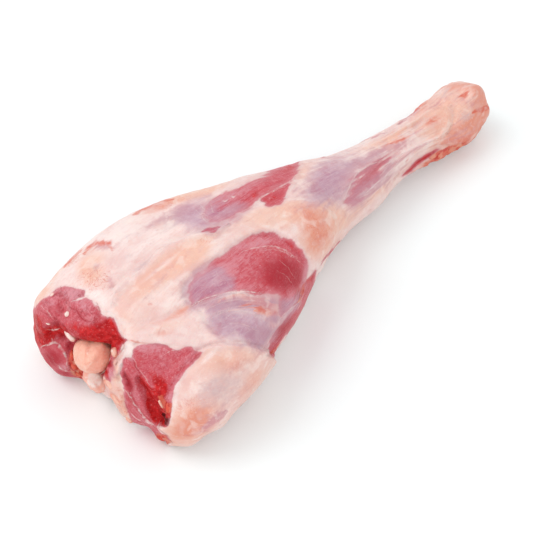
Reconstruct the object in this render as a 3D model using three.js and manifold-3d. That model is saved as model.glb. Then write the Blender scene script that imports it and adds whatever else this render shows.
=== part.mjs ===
// Raw leg of lamb with its shank left on, lying on its outer side. Millimetres, +Z up.
// The leg runs along X, from the sawn and trimmed rump end (-X) to the hock (+X).
// Two solids: the leg itself, which is meat, fat and shank in one piece, and the
// end of the thigh bone, whose ball stands in an open socket in the cut face.
import * as THREE from 'three';
import { mergeVertices } from 'three/addons/utils/BufferGeometryUtils.js';
import Module from 'manifold-3d';

const wasm = await Module();
wasm.setup();

// Outline of the leg: distance from the cut, reach to the left (+Y) and to the right (-Y),
// height of the back and of the belly. What would lie under the floor is pressed flat.
const STATIONS = [
  { along: 0, left: 71, right: -70, top: 84, bottom: -6 },
  { along: 35, left: 81, right: -77, top: 88, bottom: -6 },
  { along: 80, left: 86, right: -74, top: 90, bottom: -6 },
  { along: 125, left: 75, right: -59, top: 87, bottom: -5 },
  { along: 170, left: 56, right: -41, top: 78, bottom: -3 },
  { along: 215, left: 38, right: -25, top: 66, bottom: 2 },
  { along: 255, left: 26.5, right: -19, top: 54, bottom: 8 },
  { along: 290, left: 21, right: -17, top: 46.5, bottom: 10 },
  { along: 325, left: 18, right: -18.5, top: 43, bottom: 7 },
  { along: 358, left: 18.5, right: -23, top: 43, bottom: 0 },
  { along: 392, left: 18, right: -22, top: 39, bottom: -2 },
];
const LENGTH = STATIONS[STATIONS.length - 1].along;

// Both ends are closed by rounded caps: their depth along the leg, and the power of the
// superellipse that rounds them. Sections are superellipses too, squarer underneath.
const CUT_CAP = { depth: 22, power: 3.2 };
const TIP_CAP = { depth: 17, power: 2.6 };
const TOP_POWER = 2.25;
const BOTTOM_POWER = 2.9;

// The cut is not square to the leg: it leans back towards -Y, and its right half
// slopes back from the floor to the top edge.
const CUT_SKEW = 0.07;
const SKEW_REACH = 90;
const SLOPE = { back: 30, inner: 10, outer: 60, low: 14, high: 84, start: 10, reach: 95 };

// Muscle ends and fat that bulge from the cut: centre in the cut's plane, half width,
// half height, turn in degrees, how far the middle stands out, and how domed it is.
const CUT_LOBES = [
  { name: 'rump upper', y: 24, z: 66, wide: 38, high: 25, turn: -16, front: 0, dome: 10 },
  { name: 'rump outer', y: 60, z: 50, wide: 21, high: 30, turn: 12, front: 4, dome: 10 },
  { name: 'rump lower', y: 55, z: 17, wide: 28, high: 23, turn: 12, front: 6, dome: 9 },
  { name: 'torn tissue', y: 28, z: 20, wide: 9, high: 20, turn: 6, front: 0, dome: 5 },
  { name: 'rump inner', y: -4, z: 68, wide: 14, high: 19, turn: 0, front: -5, dome: 6 },
  { name: 'gristle', y: 5, z: 17, wide: 13, high: 20, turn: 0, front: 0, dome: 8 },
  { name: 'fat strip', y: -12, z: 34, wide: 8, high: 46, turn: -8, front: 2, dome: 5 },
  { name: 'topside lower', y: -37, z: 28, wide: 20, high: 44, turn: -20, front: 5, dome: 6 },
  { name: 'topside upper', y: -46, z: 62, wide: 24, high: 44, turn: -38, front: 2, dome: 6 },
  { name: 'fat flap edge', y: -66, z: 34, wide: 17, high: 50, turn: 0, front: 5, dome: 6 },
];
const LOBE_EDGE_FALL = 14;
const LOBE_BLEND = 1.3;
const CUT_GAP = -12;
const CUT_ZONE = { full: 4, gone: 30 };

// Swells and hollows of the sides: distance from the cut, degrees round from +Y over the
// top, half length, half girth, turn in degrees, rise, and how plate-like the edge is.
const SWELLS = [
  { name: 'window muscle', along: 112, around: 132, long: 42, wide: 26, turn: 30, rise: 3, edge: 2 },
  { name: 'fat ridge', along: 62, around: 94, long: 60, wide: 12, turn: 4, rise: 3, edge: 2 },
  { name: 'stifle fat', along: 182, around: 138, long: 24, wide: 24, turn: 0, rise: 5, edge: 2 },
  { name: 'thin membrane', along: 75, around: 68, long: 50, wide: 14, turn: 0, rise: -2.5, edge: 2 },
  { name: 'back muscle', along: 160, around: 72, long: 44, wide: 14, turn: 8, rise: 2.5, edge: 2 },
  { name: 'valley by the cut', along: 38, around: 110, long: 30, wide: 7, turn: 24, rise: -3, edge: 2 },
  { name: 'film hollow', along: 72, around: 138, long: 24, wide: 12, turn: 30, rise: -2, edge: 2 },
  { name: 'fat flap', along: 40, around: 165, long: 52, wide: 38, turn: 0, rise: 3, edge: 8 },
  { name: 'calf', along: 232, around: 110, long: 26, wide: 14, turn: 0, rise: 2, edge: 2 },
  { name: 'outer calf', along: 250, around: 130, long: 24, wide: 9, turn: 0, rise: 2, edge: 2 },
  { name: 'behind the knee', along: 214, around: 135, long: 16, wide: 14, turn: 0, rise: -3, edge: 2 },
  { name: 'inner hock', along: 374, around: 30, long: 12, wide: 10, turn: 0, rise: 2, edge: 2 },
  { name: 'hock crown', along: 372, around: 95, long: 14, wide: 10, turn: 0, rise: 2, edge: 2 },
  { name: 'hock waist', along: 352, around: 100, long: 8, wide: 16, turn: 0, rise: -1.6, edge: 2 },
  { name: 'heel', along: 362, around: 175, long: 20, wide: 12, turn: 0, rise: 3, edge: 2 },
  { name: 'heel hollow', along: 318, around: 170, long: 16, wide: 10, turn: 0, rise: -2, edge: 2 },
];

// Ball and neck of the thigh bone, and the loose hollow that the trimmed meat leaves round it.
const BALL = { along: 3.5, y: 11.5, z: 50.5, radius: 13 };
const NECK = { radius: 8.5, length: 30 };
const NECK_DIRECTION = new THREE.Vector3(1, 0.1, -0.12).normalize();
const BONE_SIDES = 28;
const BONE_GAP = 0.35;
const HOLLOW = { radius: 15.5, wall: 6, depth: 15 };

// Size of the facets on the cut, on the sides and on the hock.
const FACET = { cut: 3.7, side: 6.6, tip: 5 };
const FACET_GRADE = 60;
const FINE_STEPS = 400;
const TOP_CROWDING = 0.22;

const radians = (degrees) => degrees * Math.PI / 180;

// 0 below a, 1 above b, and a smooth S between them.
function ramp(x, a, b) {
  const t = Math.min(Math.max((x - a) / (b - a), 0), 1);
  return t * t * (3 - 2 * t);
}

// Cubic Hermite curve through one size of the stations, with slopes from the neighbours.
function station(key, along) {
  const last = STATIONS.length - 2;
  let i = 0;
  while (i < last && STATIONS[i + 1].along < along) i += 1;
  const slope = (k) => {
    const before = STATIONS[Math.max(k - 1, 0)];
    const here = STATIONS[k];
    const after = STATIONS[Math.min(k + 1, last + 1)];
    const rise1 = here.along - before.along;
    const rise2 = after.along - here.along;
    const m1 = rise1 ? (here[key] - before[key]) / rise1 : 0;
    const m2 = rise2 ? (after[key] - here[key]) / rise2 : 0;
    return (m1 * (rise2 || 0) + m2 * (rise1 || 0)) / (rise1 + rise2) || m1 + m2;
  };
  const a = STATIONS[i];
  const b = STATIONS[i + 1];
  const h = b.along - a.along;
  const t = (along - a.along) / h;
  return a[key] * (1 + 2 * t) * (1 - t) ** 2 + h * slope(i) * t * (1 - t) ** 2
    + b[key] * t * t * (3 - 2 * t) + h * slope(i + 1) * t * t * (t - 1);
}

// Half of the mean of width and height: the radius that turns degrees into girth.
function meanRadius(along) {
  const width = station('left', along) - station('right', along);
  const height = station('top', along) - station('bottom', along);
  return (width + height) / 4;
}

// The profile of the leg from the middle of the cut to the middle of the tip:
// distance along the leg, share of the full section, and length of surface so far.
function fineProfile() {
  const points = [];
  const cap = (shape, t) => {
    const angle = t * Math.PI / 2;
    return [shape.depth * (1 - Math.cos(angle) ** (2 / shape.power)), Math.sin(angle) ** (2 / shape.power)];
  };
  for (let i = 0; i <= FINE_STEPS; i += 1) {
    const [along, share] = cap(CUT_CAP, i / FINE_STEPS);
    points.push({ along, share });
  }
  const straight = LENGTH - TIP_CAP.depth - CUT_CAP.depth;
  for (let i = 1; i < FINE_STEPS; i += 1) {
    points.push({ along: CUT_CAP.depth + straight * i / FINE_STEPS, share: 1 });
  }
  for (let i = FINE_STEPS; i >= 0; i -= 1) {
    const [along, share] = cap(TIP_CAP, i / FINE_STEPS);
    points.push({ along: LENGTH - along, share });
  }
  let length = 0;
  points.forEach((point, i) => {
    const before = points[Math.max(i - 1, 0)];
    const radius = meanRadius(point.along);
    length += Math.hypot(point.along - before.along, (point.share - before.share) * radius);
    point.length = length;
  });
  return points;
}
const PROFILE = fineProfile();
const SURFACE_LENGTH = PROFILE[PROFILE.length - 1].length;

function profileAt(length) {
  let low = 0;
  let high = PROFILE.length - 1;
  while (high - low > 1) {
    const middle = (low + high) >> 1;
    if (PROFILE[middle].length <= length) low = middle;
    else high = middle;
  }
  const a = PROFILE[low];
  const b = PROFILE[high];
  const t = Math.min(Math.max((length - a.length) / (b.length - a.length || 1), 0), 1);
  return { along: a.along + (b.along - a.along) * t, share: a.share + (b.share - a.share) * t };
}

// Smooth leg before its muscles: a superellipse at each distance, scaled by the cap's share.
function smoothSkin(length, angle) {
  const { along, share } = profileAt(length);
  const cos = Math.cos(angle);
  const sin = Math.sin(angle);
  const power = sin > 0 ? TOP_POWER : BOTTOM_POWER;
  const norm = (Math.abs(cos) ** power + Math.abs(sin) ** power) ** (-1 / power);
  const [left, right] = [station('left', along), station('right', along)];
  const [top, bottom] = [station('top', along), station('bottom', along)];
  const y = (left + right) / 2 + (left - right) / 2 * share * norm * cos;
  const z = (top + bottom) / 2 + (top - bottom) / 2 * share * norm * sin;
  const x = along - CUT_SKEW * y * (1 - ramp(along, 0, SKEW_REACH));
  return new THREE.Vector3(x, y, z);
}

function smoothNormal(length, angle) {
  const step = 0.5;
  const turn = 0.01;
  const forward = Math.min(length + step, SURFACE_LENGTH - 0.05);
  const backward = Math.max(length - step, 0.05);
  const along = smoothSkin(forward, angle).sub(smoothSkin(backward, angle));
  const round = smoothSkin(length, angle + turn).sub(smoothSkin(length, angle - turn));
  return round.cross(along).normalize();
}

// Turned offset of a point from the middle of a form, as a share of its half sizes.
function spread(u, v, halfU, halfV, turn) {
  const [cos, sin] = [Math.cos(radians(turn)), Math.sin(radians(turn))];
  return Math.hypot((u * cos + v * sin) / halfU, (v * cos - u * sin) / halfV);
}

// Swells of the sides: each fades as exp(-spread^edge), so a high edge gives a plate.
function sideRise(along, share, angle) {
  const radius = meanRadius(along);
  let rise = 0;
  for (const swell of SWELLS) {
    const degrees = THREE.MathUtils.euclideanModulo(angle * 180 / Math.PI - swell.around + 180, 360) - 180;
    const off = spread(along - swell.along, radians(degrees) * radius, swell.long, swell.wide, swell.turn);
    rise += swell.rise * Math.exp(-(off ** swell.edge)) * share;
  }
  return rise;
}

// The cut face: each lobe is a dome with a steep rim, and a soft maximum joins them,
// so that creases are left between muscles. The bone's hollow is taken out of it.
function cutRise(along, y, z) {
  let sum = Math.exp(CUT_GAP / LOBE_BLEND);
  for (const lobe of CUT_LOBES) {
    const off = spread(y - lobe.y, z - lobe.z, lobe.wide, lobe.high, lobe.turn);
    const fall = off < 1 ? lobe.dome * (1 - Math.sqrt(1 - off * off)) : lobe.dome + (off - 1) * LOBE_EDGE_FALL;
    sum += Math.exp((lobe.front - fall) / LOBE_BLEND);
  }
  const fromBall = Math.hypot(y - BALL.y, z - BALL.z);
  const hollow = 1 - ramp(fromBall, HOLLOW.radius - HOLLOW.wall / 2, HOLLOW.radius + HOLLOW.wall / 2);
  const rise = LOBE_BLEND * Math.log(sum) - HOLLOW.depth * hollow;
  return rise * (1 - ramp(along, CUT_ZONE.full, CUT_ZONE.gone));
}

// A point of the finished surface, from the length of surface and the angle round the leg.
function skin(length, angle) {
  const { along, share } = profileAt(length);
  const point = smoothSkin(length, angle);
  const rise = sideRise(along, share, angle) + cutRise(along, point.y, point.z);
  point.addScaledVector(smoothNormal(length, angle), rise);
  point.x += SLOPE.back * ramp(-point.y, SLOPE.inner, SLOPE.outer) * ramp(point.z, SLOPE.low, SLOPE.high)
    * (1 - ramp(point.x, SLOPE.start, SLOPE.reach));
  point.z = Math.max(point.z, 0);
  return point;
}

// Facet size at a length of surface: fine on the cut, coarse on the sides, finer on the hock.
function facetSize(length) {
  const fromCut = PROFILE[FINE_STEPS].length - FACET_GRADE / 3;
  const toTip = SURFACE_LENGTH - FACET_GRADE;
  return FACET.cut + (FACET.side - FACET.cut) * ramp(length, fromCut, fromCut + FACET_GRADE)
    + (FACET.tip - FACET.side) * ramp(length, toTip - FACET_GRADE, toTip);
}

// Lengths of surface at which the rings of vertices lie.
function ringLengths() {
  const lengths = [];
  let length = facetSize(0);
  while (length < SURFACE_LENGTH - FACET.tip / 2) {
    lengths.push(length);
    length += facetSize(length) * 0.87;
  }
  return lengths;
}

// Leg surface as rings of vertices. Each ring has as many as its girth asks for, a
// triangle fan closes each end, and neighbouring rings are zipped in order of angle.
function legMesh() {
  const vertices = [];
  const triangles = [];
  const rings = [{ start: 0, count: 1 }];
  vertices.push(skin(0, 0));
  for (const length of ringLengths()) {
    const { along, share } = profileAt(length);
    const girth = 2 * Math.PI * meanRadius(along) * share;
    const count = Math.max(Math.round(girth / facetSize(length)), 7);
    rings.push({ start: vertices.length, count });
    for (let i = 0; i < count; i += 1) {
      const even = 2 * Math.PI * i / count;
      vertices.push(skin(length, even + TOP_CROWDING * Math.sin(2 * even) / 2));
    }
  }
  rings.push({ start: vertices.length, count: 1 });
  vertices.push(skin(SURFACE_LENGTH, 0));

  for (let r = 0; r + 1 < rings.length; r += 1) {
    const [near, far] = [rings[r], rings[r + 1]];
    const nearAt = (i) => near.start + i % near.count;
    const farAt = (i) => far.start + i % far.count;
    const nearSteps = near.count > 1 ? near.count : 0;
    const farSteps = far.count > 1 ? far.count : 0;
    let [i, j] = [0, 0];
    while (i < nearSteps || j < farSteps) {
      const stepNear = j >= farSteps || (i < nearSteps && (i + 0.5) / nearSteps <= (j + 0.5) / farSteps);
      if (stepNear) {
        triangles.push(nearAt(i), nearAt(i + 1), farAt(j));
        i += 1;
      } else {
        triangles.push(nearAt(i), farAt(j + 1), farAt(j));
        j += 1;
      }
    }
  }
  return { vertices, triangles };
}

// Ball and neck turned on one axis, grown by a margin for the socket that they stand in.
function boneGeometry(margin) {
  const ballRadius = BALL.radius + margin;
  const neckRadius = NECK.radius + margin;
  const neckStart = Math.sqrt(ballRadius ** 2 - neckRadius ** 2);
  const ballTurn = Math.PI - Math.atan2(neckRadius, neckStart);
  const ballRings = BONE_SIDES / 2;
  const profile = [];
  for (let i = 0; i <= ballRings; i += 1) {
    const angle = ballTurn * i / ballRings;
    profile.push(new THREE.Vector2(Math.sin(angle) * ballRadius, -Math.cos(angle) * ballRadius));
  }
  profile[0].x = 0;
  profile.push(new THREE.Vector2(neckRadius, NECK.length + margin));
  profile.push(new THREE.Vector2(0, NECK.length + margin));
  const geometry = new THREE.LatheGeometry(profile, BONE_SIDES);
  const upright = new THREE.Vector3(0, 1, 0);
  geometry.applyQuaternion(new THREE.Quaternion().setFromUnitVectors(upright, NECK_DIRECTION));
  geometry.translate(BALL.along, BALL.y, BALL.z);
  geometry.deleteAttribute('normal');
  geometry.deleteAttribute('uv');
  return mergeVertices(geometry, 1e-4);
}

function solid(vertProperties, triVerts) {
  return new wasm.Manifold(new wasm.Mesh({ numProp: 3, vertProperties, triVerts }));
}

function solidFromGeometry(geometry) {
  return solid(Float32Array.from(geometry.attributes.position.array), Uint32Array.from(geometry.index.array));
}

function geometryFromSolid(body) {
  const mesh = body.getMesh();
  const geometry = new THREE.BufferGeometry();
  geometry.setAttribute('position', new THREE.BufferAttribute(mesh.vertProperties, mesh.numProp));
  geometry.setIndex(new THREE.BufferAttribute(mesh.triVerts, 1));
  geometry.computeVertexNormals();
  return geometry;
}

// The whole leg, with the socket for the ball and neck cut into its cut face.
function makeLegMeat() {
  const { vertices, triangles } = legMesh();
  const positions = Float32Array.from(vertices.flatMap((point) => point.toArray()));
  const leg = solid(positions, Uint32Array.from(triangles));
  const socket = solidFromGeometry(boneGeometry(BONE_GAP));
  const material = new THREE.MeshStandardMaterial({ color: '#dfa79c', roughness: 0.45, metalness: 0 });
  const mesh = new THREE.Mesh(geometryFromSolid(leg.subtract(socket)), material);
  mesh.name = 'leg_meat';
  return mesh;
}

// The end of the thigh bone: a ball in its gristle, on a short neck that runs into the leg.
function makeThighBone() {
  const geometry = boneGeometry(0);
  geometry.computeVertexNormals();
  const material = new THREE.MeshStandardMaterial({ color: '#edb9a0', roughness: 0.4, metalness: 0 });
  const mesh = new THREE.Mesh(geometry, material);
  mesh.name = 'thigh_bone';
  return mesh;
}

const group = new THREE.Group();
group.add(makeLegMeat(), makeThighBone());

// The origin is under the middle of the leg, on the surface that it lies on.
const box = new THREE.Box3().setFromObject(group);
const middle = box.getCenter(new THREE.Vector3());
group.position.set(-middle.x, -middle.y, -box.min.z);
group.updateMatrixWorld(true);

export default group;
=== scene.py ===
"""A raw leg of lamb with its shank on, lying on its outer side on a pale floor."""
import math

import bpy
import numpy as np
from mathutils import Matrix, Vector


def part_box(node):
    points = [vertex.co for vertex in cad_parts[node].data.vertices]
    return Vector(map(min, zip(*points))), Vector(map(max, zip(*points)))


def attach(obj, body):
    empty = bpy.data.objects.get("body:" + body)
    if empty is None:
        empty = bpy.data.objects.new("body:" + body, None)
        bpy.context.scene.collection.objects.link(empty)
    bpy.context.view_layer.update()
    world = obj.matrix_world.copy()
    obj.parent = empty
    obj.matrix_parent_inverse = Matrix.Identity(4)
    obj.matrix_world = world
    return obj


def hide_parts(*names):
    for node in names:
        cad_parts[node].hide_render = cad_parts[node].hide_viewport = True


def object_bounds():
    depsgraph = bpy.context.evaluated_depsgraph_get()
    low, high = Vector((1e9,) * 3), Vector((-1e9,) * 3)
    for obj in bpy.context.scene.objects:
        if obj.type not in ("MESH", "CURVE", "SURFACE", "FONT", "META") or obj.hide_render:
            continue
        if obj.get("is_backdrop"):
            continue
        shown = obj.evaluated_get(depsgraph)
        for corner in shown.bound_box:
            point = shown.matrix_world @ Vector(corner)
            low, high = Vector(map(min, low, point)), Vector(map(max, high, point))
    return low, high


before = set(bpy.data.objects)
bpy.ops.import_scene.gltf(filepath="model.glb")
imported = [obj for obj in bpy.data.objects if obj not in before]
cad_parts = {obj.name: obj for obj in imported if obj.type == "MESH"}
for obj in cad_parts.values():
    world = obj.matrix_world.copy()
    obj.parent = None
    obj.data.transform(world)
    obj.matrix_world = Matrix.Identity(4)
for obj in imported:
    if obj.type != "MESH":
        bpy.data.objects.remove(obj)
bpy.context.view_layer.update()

# ---------------------------------------------------------------------------------------
# Camera. It looks down on the leg from beyond the cut end through a long lens. Small
# forms and patches of the leg are placed in its picture, so it comes first.
# ---------------------------------------------------------------------------------------
PICTURE = 533                       # pixels along each side of the square picture
CAMERA_TURN = math.radians(46)      # from the leg's length to the camera's right
CAMERA_RISE = math.radians(50)      # above the floor
CAMERA_DISTANCE = 1.3
PIXEL = 0.0007                      # metres that one pixel covers at the target
CAMERA_TARGET = np.array([-0.0445, -0.0152, 0.038])
SENSOR = 36.0

camera_right = np.array([math.cos(CAMERA_TURN), -math.sin(CAMERA_TURN), 0.0])
camera_forward = np.array([math.sin(CAMERA_TURN), math.cos(CAMERA_TURN), 0.0])
camera_back = np.array([0.0, 0.0, math.sin(CAMERA_RISE)]) - math.cos(CAMERA_RISE) * camera_forward
camera_up = np.cross(camera_back, camera_right)
camera_place = CAMERA_TARGET + CAMERA_DISTANCE * camera_back
focal_pixels = CAMERA_DISTANCE / PIXEL

camera_data = bpy.data.cameras.new("camera")
camera_data.sensor_width = SENSOR
camera_data.lens = SENSOR * focal_pixels / PICTURE
camera = bpy.data.objects.new("camera", camera_data)
bpy.context.scene.collection.objects.link(camera)
turned = Matrix([camera_right, camera_up, camera_back]).transposed().to_4x4()
camera.matrix_world = Matrix.Translation(Vector(camera_place)) @ turned
bpy.context.scene.camera = camera


def in_picture(points):
    """Pixels of points in metres: offsets along the camera's right and up, over depth."""
    offset = points - camera_place
    depth = -offset @ camera_back
    across = PICTURE / 2 + focal_pixels * (offset @ camera_right) / depth
    down = PICTURE / 2 - focal_pixels * (offset @ camera_up) / depth
    return np.stack([across, down], -1)


# ---------------------------------------------------------------------------------------
# Floor and light. A matt white studio floor, a pale sky all round, one large soft light
# high at the back left and a weaker one in front.
# ---------------------------------------------------------------------------------------
FLOOR_HALF = 3.0
FLOOR_COLOUR = (0.935, 0.98, 0.985, 1)
SKY_STRENGTH = 0.88
LIGHTS = [
    # name, place, watts, side in metres
    ("back left", (-1.0, 1.2, 2.4), 22, 1.8),
    ("front", (-1.2, -1.6, 1.7), 7, 2.0),
]

floor_mesh = bpy.data.meshes.new("floor")
floor_mesh.from_pydata(
    [(-FLOOR_HALF, -FLOOR_HALF, 0), (FLOOR_HALF, -FLOOR_HALF, 0),
     (FLOOR_HALF, FLOOR_HALF, 0), (-FLOOR_HALF, FLOOR_HALF, 0)], [], [(0, 1, 2, 3)])
floor = bpy.data.objects.new("floor", floor_mesh)
bpy.context.scene.collection.objects.link(floor)
floor_paint = bpy.data.materials.new("white floor")
floor_paint.use_nodes = True
floor_shader = floor_paint.node_tree.nodes["Principled BSDF"]
floor_shader.inputs["Base Color"].default_value = FLOOR_COLOUR
floor_shader.inputs["Roughness"].default_value = 0.9
floor_shader.inputs["Specular IOR Level"].default_value = 0.1
floor_mesh.materials.append(floor_paint)
floor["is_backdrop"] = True

sky = bpy.data.worlds.new("sky")
sky.use_nodes = True
sky.node_tree.nodes["Background"].inputs["Color"].default_value = (1, 1, 1, 1)
sky.node_tree.nodes["Background"].inputs["Strength"].default_value = SKY_STRENGTH
bpy.context.scene.world = sky
bpy.context.scene.view_settings.view_transform = "Standard"

for name, place, watts, side in LIGHTS:
    lamp = bpy.data.lights.new(name, "AREA")
    lamp.energy = watts
    lamp.size = side
    light = bpy.data.objects.new(name, lamp)
    light.location = place
    light.rotation_mode = "QUATERNION"
    light.rotation_quaternion = (Vector(CAMERA_TARGET) - Vector(place)).to_track_quat("-Z", "Y")
    bpy.context.scene.collection.objects.link(light)

# ---------------------------------------------------------------------------------------
# The leg. Meat, fat and shank are one piece: a skin over superellipse sections, swollen
# by the muscles under it, with the trimmed muscle ends bulging from the cut. All sizes
# in this section are millimetres along the leg from the cut, across it and above the floor.
# ---------------------------------------------------------------------------------------
STATIONS = np.array([
    # along, left, right, top, bottom
    (0, 71, -70, 84, -6),
    (35, 81, -77, 88, -6),
    (80, 86, -74, 90, -6),
    (125, 75, -59, 87, -5),
    (170, 56, -41, 78, -3),
    (215, 38, -25, 66, 2),
    (255, 26.5, -19, 54, 8),
    (290, 21, -17, 46.5, 10),
    (325, 18, -18.5, 43, 7),
    (358, 18.5, -23, 43, 0),
    (392, 18, -22, 39, -2),
])
LENGTH = STATIONS[-1, 0]
CUT_CAP = (22, 3.2)                 # depth along the leg, power of the rounding
TIP_CAP = (17, 2.6)
TOP_POWER, BOTTOM_POWER = 2.25, 2.9     # sections are squarer underneath
CUT_SKEW, SKEW_REACH = 0.07, 90     # the cut leans back towards -Y, less and less up to this reach
LEAN_BACK = 30                      # its upper right corner leans back by this much more
LEAN_ACROSS, LEAN_UP, LEAN_GONE = (10, 60), (14, 84), (10, 95)  # where that grows and ends
CUT_LOBES = [
    # name, y, z, half width, half height, turn in degrees, front, dome
    ("rump upper", 24, 66, 38, 25, -16, 0, 10),
    ("rump outer", 60, 50, 21, 30, 12, 4, 10),
    ("rump lower", 55, 17, 28, 23, 12, 6, 9),
    ("torn tissue", 28, 20, 9, 20, 6, 0, 5),
    ("rump inner", -6, 80, 12, 10, 0, -9, 6),
    ("gristle", 5, 17, 13, 20, 0, 0, 8),
    ("fat strip", -12, 34, 8, 46, -8, 2, 5),
    ("topside lower", -37, 28, 20, 44, -20, 5, 6),
    ("topside upper", -46, 62, 24, 44, -38, 2, 6),
    ("fat flap edge", -66, 34, 17, 50, 0, 5, 6),
]
LOBE_EDGE_FALL, LOBE_BLEND = 14, 1.3    # steepness past a lobe's edge, rounding between lobes
CUT_GAP = -12                       # depth where no lobe reaches
CUT_ZONE = (4, 30)                  # lobes stand in full up to the first and are gone at the second
SWELLS = [
    # name, along, degrees round, half length, half girth, turn in degrees, rise, edge
    ("window muscle", 112, 132, 42, 26, 30, 3, 2),
    ("fat ridge", 62, 94, 60, 12, 4, 3, 2),
    ("stifle fat", 182, 138, 24, 24, 0, 5, 2),
    ("thin membrane", 75, 68, 50, 14, 0, -2.5, 2),
    ("back muscle", 160, 72, 44, 14, 8, 2.5, 2),
    ("valley by the cut", 38, 110, 30, 7, 24, -3, 2),
    ("film hollow", 72, 138, 24, 12, 30, -2, 2),
    ("fat flap", 40, 165, 52, 38, 0, 3, 8),
    ("calf", 232, 110, 26, 14, 0, 2, 2),
    ("outer calf", 250, 130, 24, 9, 0, 2, 2),
    ("behind the knee", 214, 135, 16, 14, 0, -3, 2),
    ("inner hock", 374, 30, 12, 10, 0, 2, 2),
    ("hock crown", 372, 95, 14, 10, 0, 2, 2),
    ("hock waist", 352, 100, 8, 16, 0, -1.6, 2),
    ("heel", 362, 175, 20, 12, 0, 3, 2),
    ("heel hollow", 318, 170, 16, 10, 0, -2, 2),
]
BALL = (3.5, 11.5, 50.5)            # middle of the thigh bone's ball
HOLLOW_RADIUS, HOLLOW_WALL, HOLLOW_DEPTH = 15.5, 6, 15
RINGS, RING_POINTS = 384, 256       # rings along the surface, points round each
CLOSE_RINGS, CLOSE_LENGTH = 250, 235    # rings on the cut and the thick part, and their length
CROWDING, CROWDED_SIDE = 0.48, 118  # points crowd to this side of the leg, in degrees
CURVE_STEPS = 400                   # points along each cap, and along the skin between them
SLOPE_STEP, SLOPE_TURN = 0.5, 0.01  # slopes are measured over this length and this angle,
END_CLEARANCE = 0.05                # and no nearer than this to either end


def ease(x, low, high):
    """0 below low, 1 above high, and 3t^2 - 2t^3 between them."""
    t = np.clip((x - low) / (high - low), 0, 1)
    return t * t * (3 - 2 * t)


def station(column, along):
    """Cubic Hermite curve through one column, with slopes weighted from both sides."""
    x, y = STATIONS[:, 0], STATIONS[:, column]
    step = np.diff(x)
    chord = np.diff(y) / step
    inner = (chord[:-1] * step[1:] + chord[1:] * step[:-1]) / (step[:-1] + step[1:])
    slope = np.concatenate([chord[:1], inner, chord[-1:]])
    i = np.clip(np.searchsorted(x, along, side="right") - 1, 0, len(step) - 1)
    t = (along - x[i]) / step[i]
    return (y[i] * (1 + 2 * t) * (1 - t) ** 2 + step[i] * slope[i] * t * (1 - t) ** 2
            + y[i + 1] * t * t * (3 - 2 * t) + step[i] * slope[i + 1] * t * t * (t - 1))


def mean_radius(along):
    """A quarter of width plus height, which turns degrees round the leg into girth."""
    return (station(1, along) - station(2, along) + station(3, along) - station(4, along)) / 4


def cap(depth, power):
    """Quarter superellipse: share sin^(2/p) of the section at depth (1 - cos^(2/p))."""
    turn = np.linspace(0, math.pi / 2, CURVE_STEPS)
    return depth * (1 - np.cos(turn) ** (2 / power)), np.sin(turn) ** (2 / power)


cut_along, cut_share = cap(*CUT_CAP)
tip_along, tip_share = cap(*TIP_CAP)
side_along = np.linspace(CUT_CAP[0], LENGTH - TIP_CAP[0], CURVE_STEPS)[1:-1]
fine_along = np.concatenate([cut_along, side_along, LENGTH - tip_along[::-1]])
fine_share = np.concatenate([cut_share, np.ones(len(side_along)), tip_share[::-1]])
fine_length = np.concatenate([[0], np.cumsum(np.hypot(
    np.diff(fine_along), np.diff(fine_share) * mean_radius(fine_along[1:])))])


def smooth_skin(length, angle):
    """Superellipse of the stations at a length of surface, times the cap's share, then skewed."""
    along = np.interp(length, fine_length, fine_along)
    share = np.interp(length, fine_length, fine_share)
    cos, sin = np.cos(angle), np.sin(angle)
    power = np.where(sin > 0, TOP_POWER, BOTTOM_POWER)
    size = share * (np.abs(cos) ** power + np.abs(sin) ** power) ** (-1 / power)
    left, right, top, bottom = (station(k, along) for k in (1, 2, 3, 4))
    y = (left + right) / 2 + (left - right) / 2 * size * cos
    z = (top + bottom) / 2 + (top - bottom) / 2 * size * sin
    return np.stack([along - CUT_SKEW * y * (1 - ease(along, 0, SKEW_REACH)), y, z], -1)


def unit(vectors):
    """Vectors over their own length."""
    return vectors / np.maximum(np.linalg.norm(vectors, axis=-1, keepdims=True), 1e-9)


def smooth_normal(length, angle):
    """Cross product of the surface's slopes round and along the leg."""
    ahead = np.minimum(length + SLOPE_STEP, fine_length[-1] - END_CLEARANCE)
    behind = np.maximum(length - SLOPE_STEP, END_CLEARANCE)
    along = smooth_skin(ahead, angle) - smooth_skin(behind, angle)
    around = smooth_skin(length, angle + SLOPE_TURN) - smooth_skin(length, angle - SLOPE_TURN)
    return unit(np.cross(around, along))


def spread(u, v, half_u, half_v, turn):
    """Distance from a form's middle as a share of its turned half sizes."""
    cos, sin = math.cos(math.radians(turn)), math.sin(math.radians(turn))
    return np.hypot((u * cos + v * sin) / half_u, (v * cos - u * sin) / half_v)


def side_rise(along, share, angle):
    """Sum of the swells, each fading as exp(-spread^edge)."""
    rise = 0
    radius = mean_radius(along)
    for _, at, around, half_long, half_wide, turn, height, edge in SWELLS:
        degrees = (np.degrees(angle) - around + 180) % 360 - 180
        off = spread(along - at, np.radians(degrees) * radius, half_long, half_wide, turn)
        rise = rise + height * np.exp(-off ** edge) * share
    return rise


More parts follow.
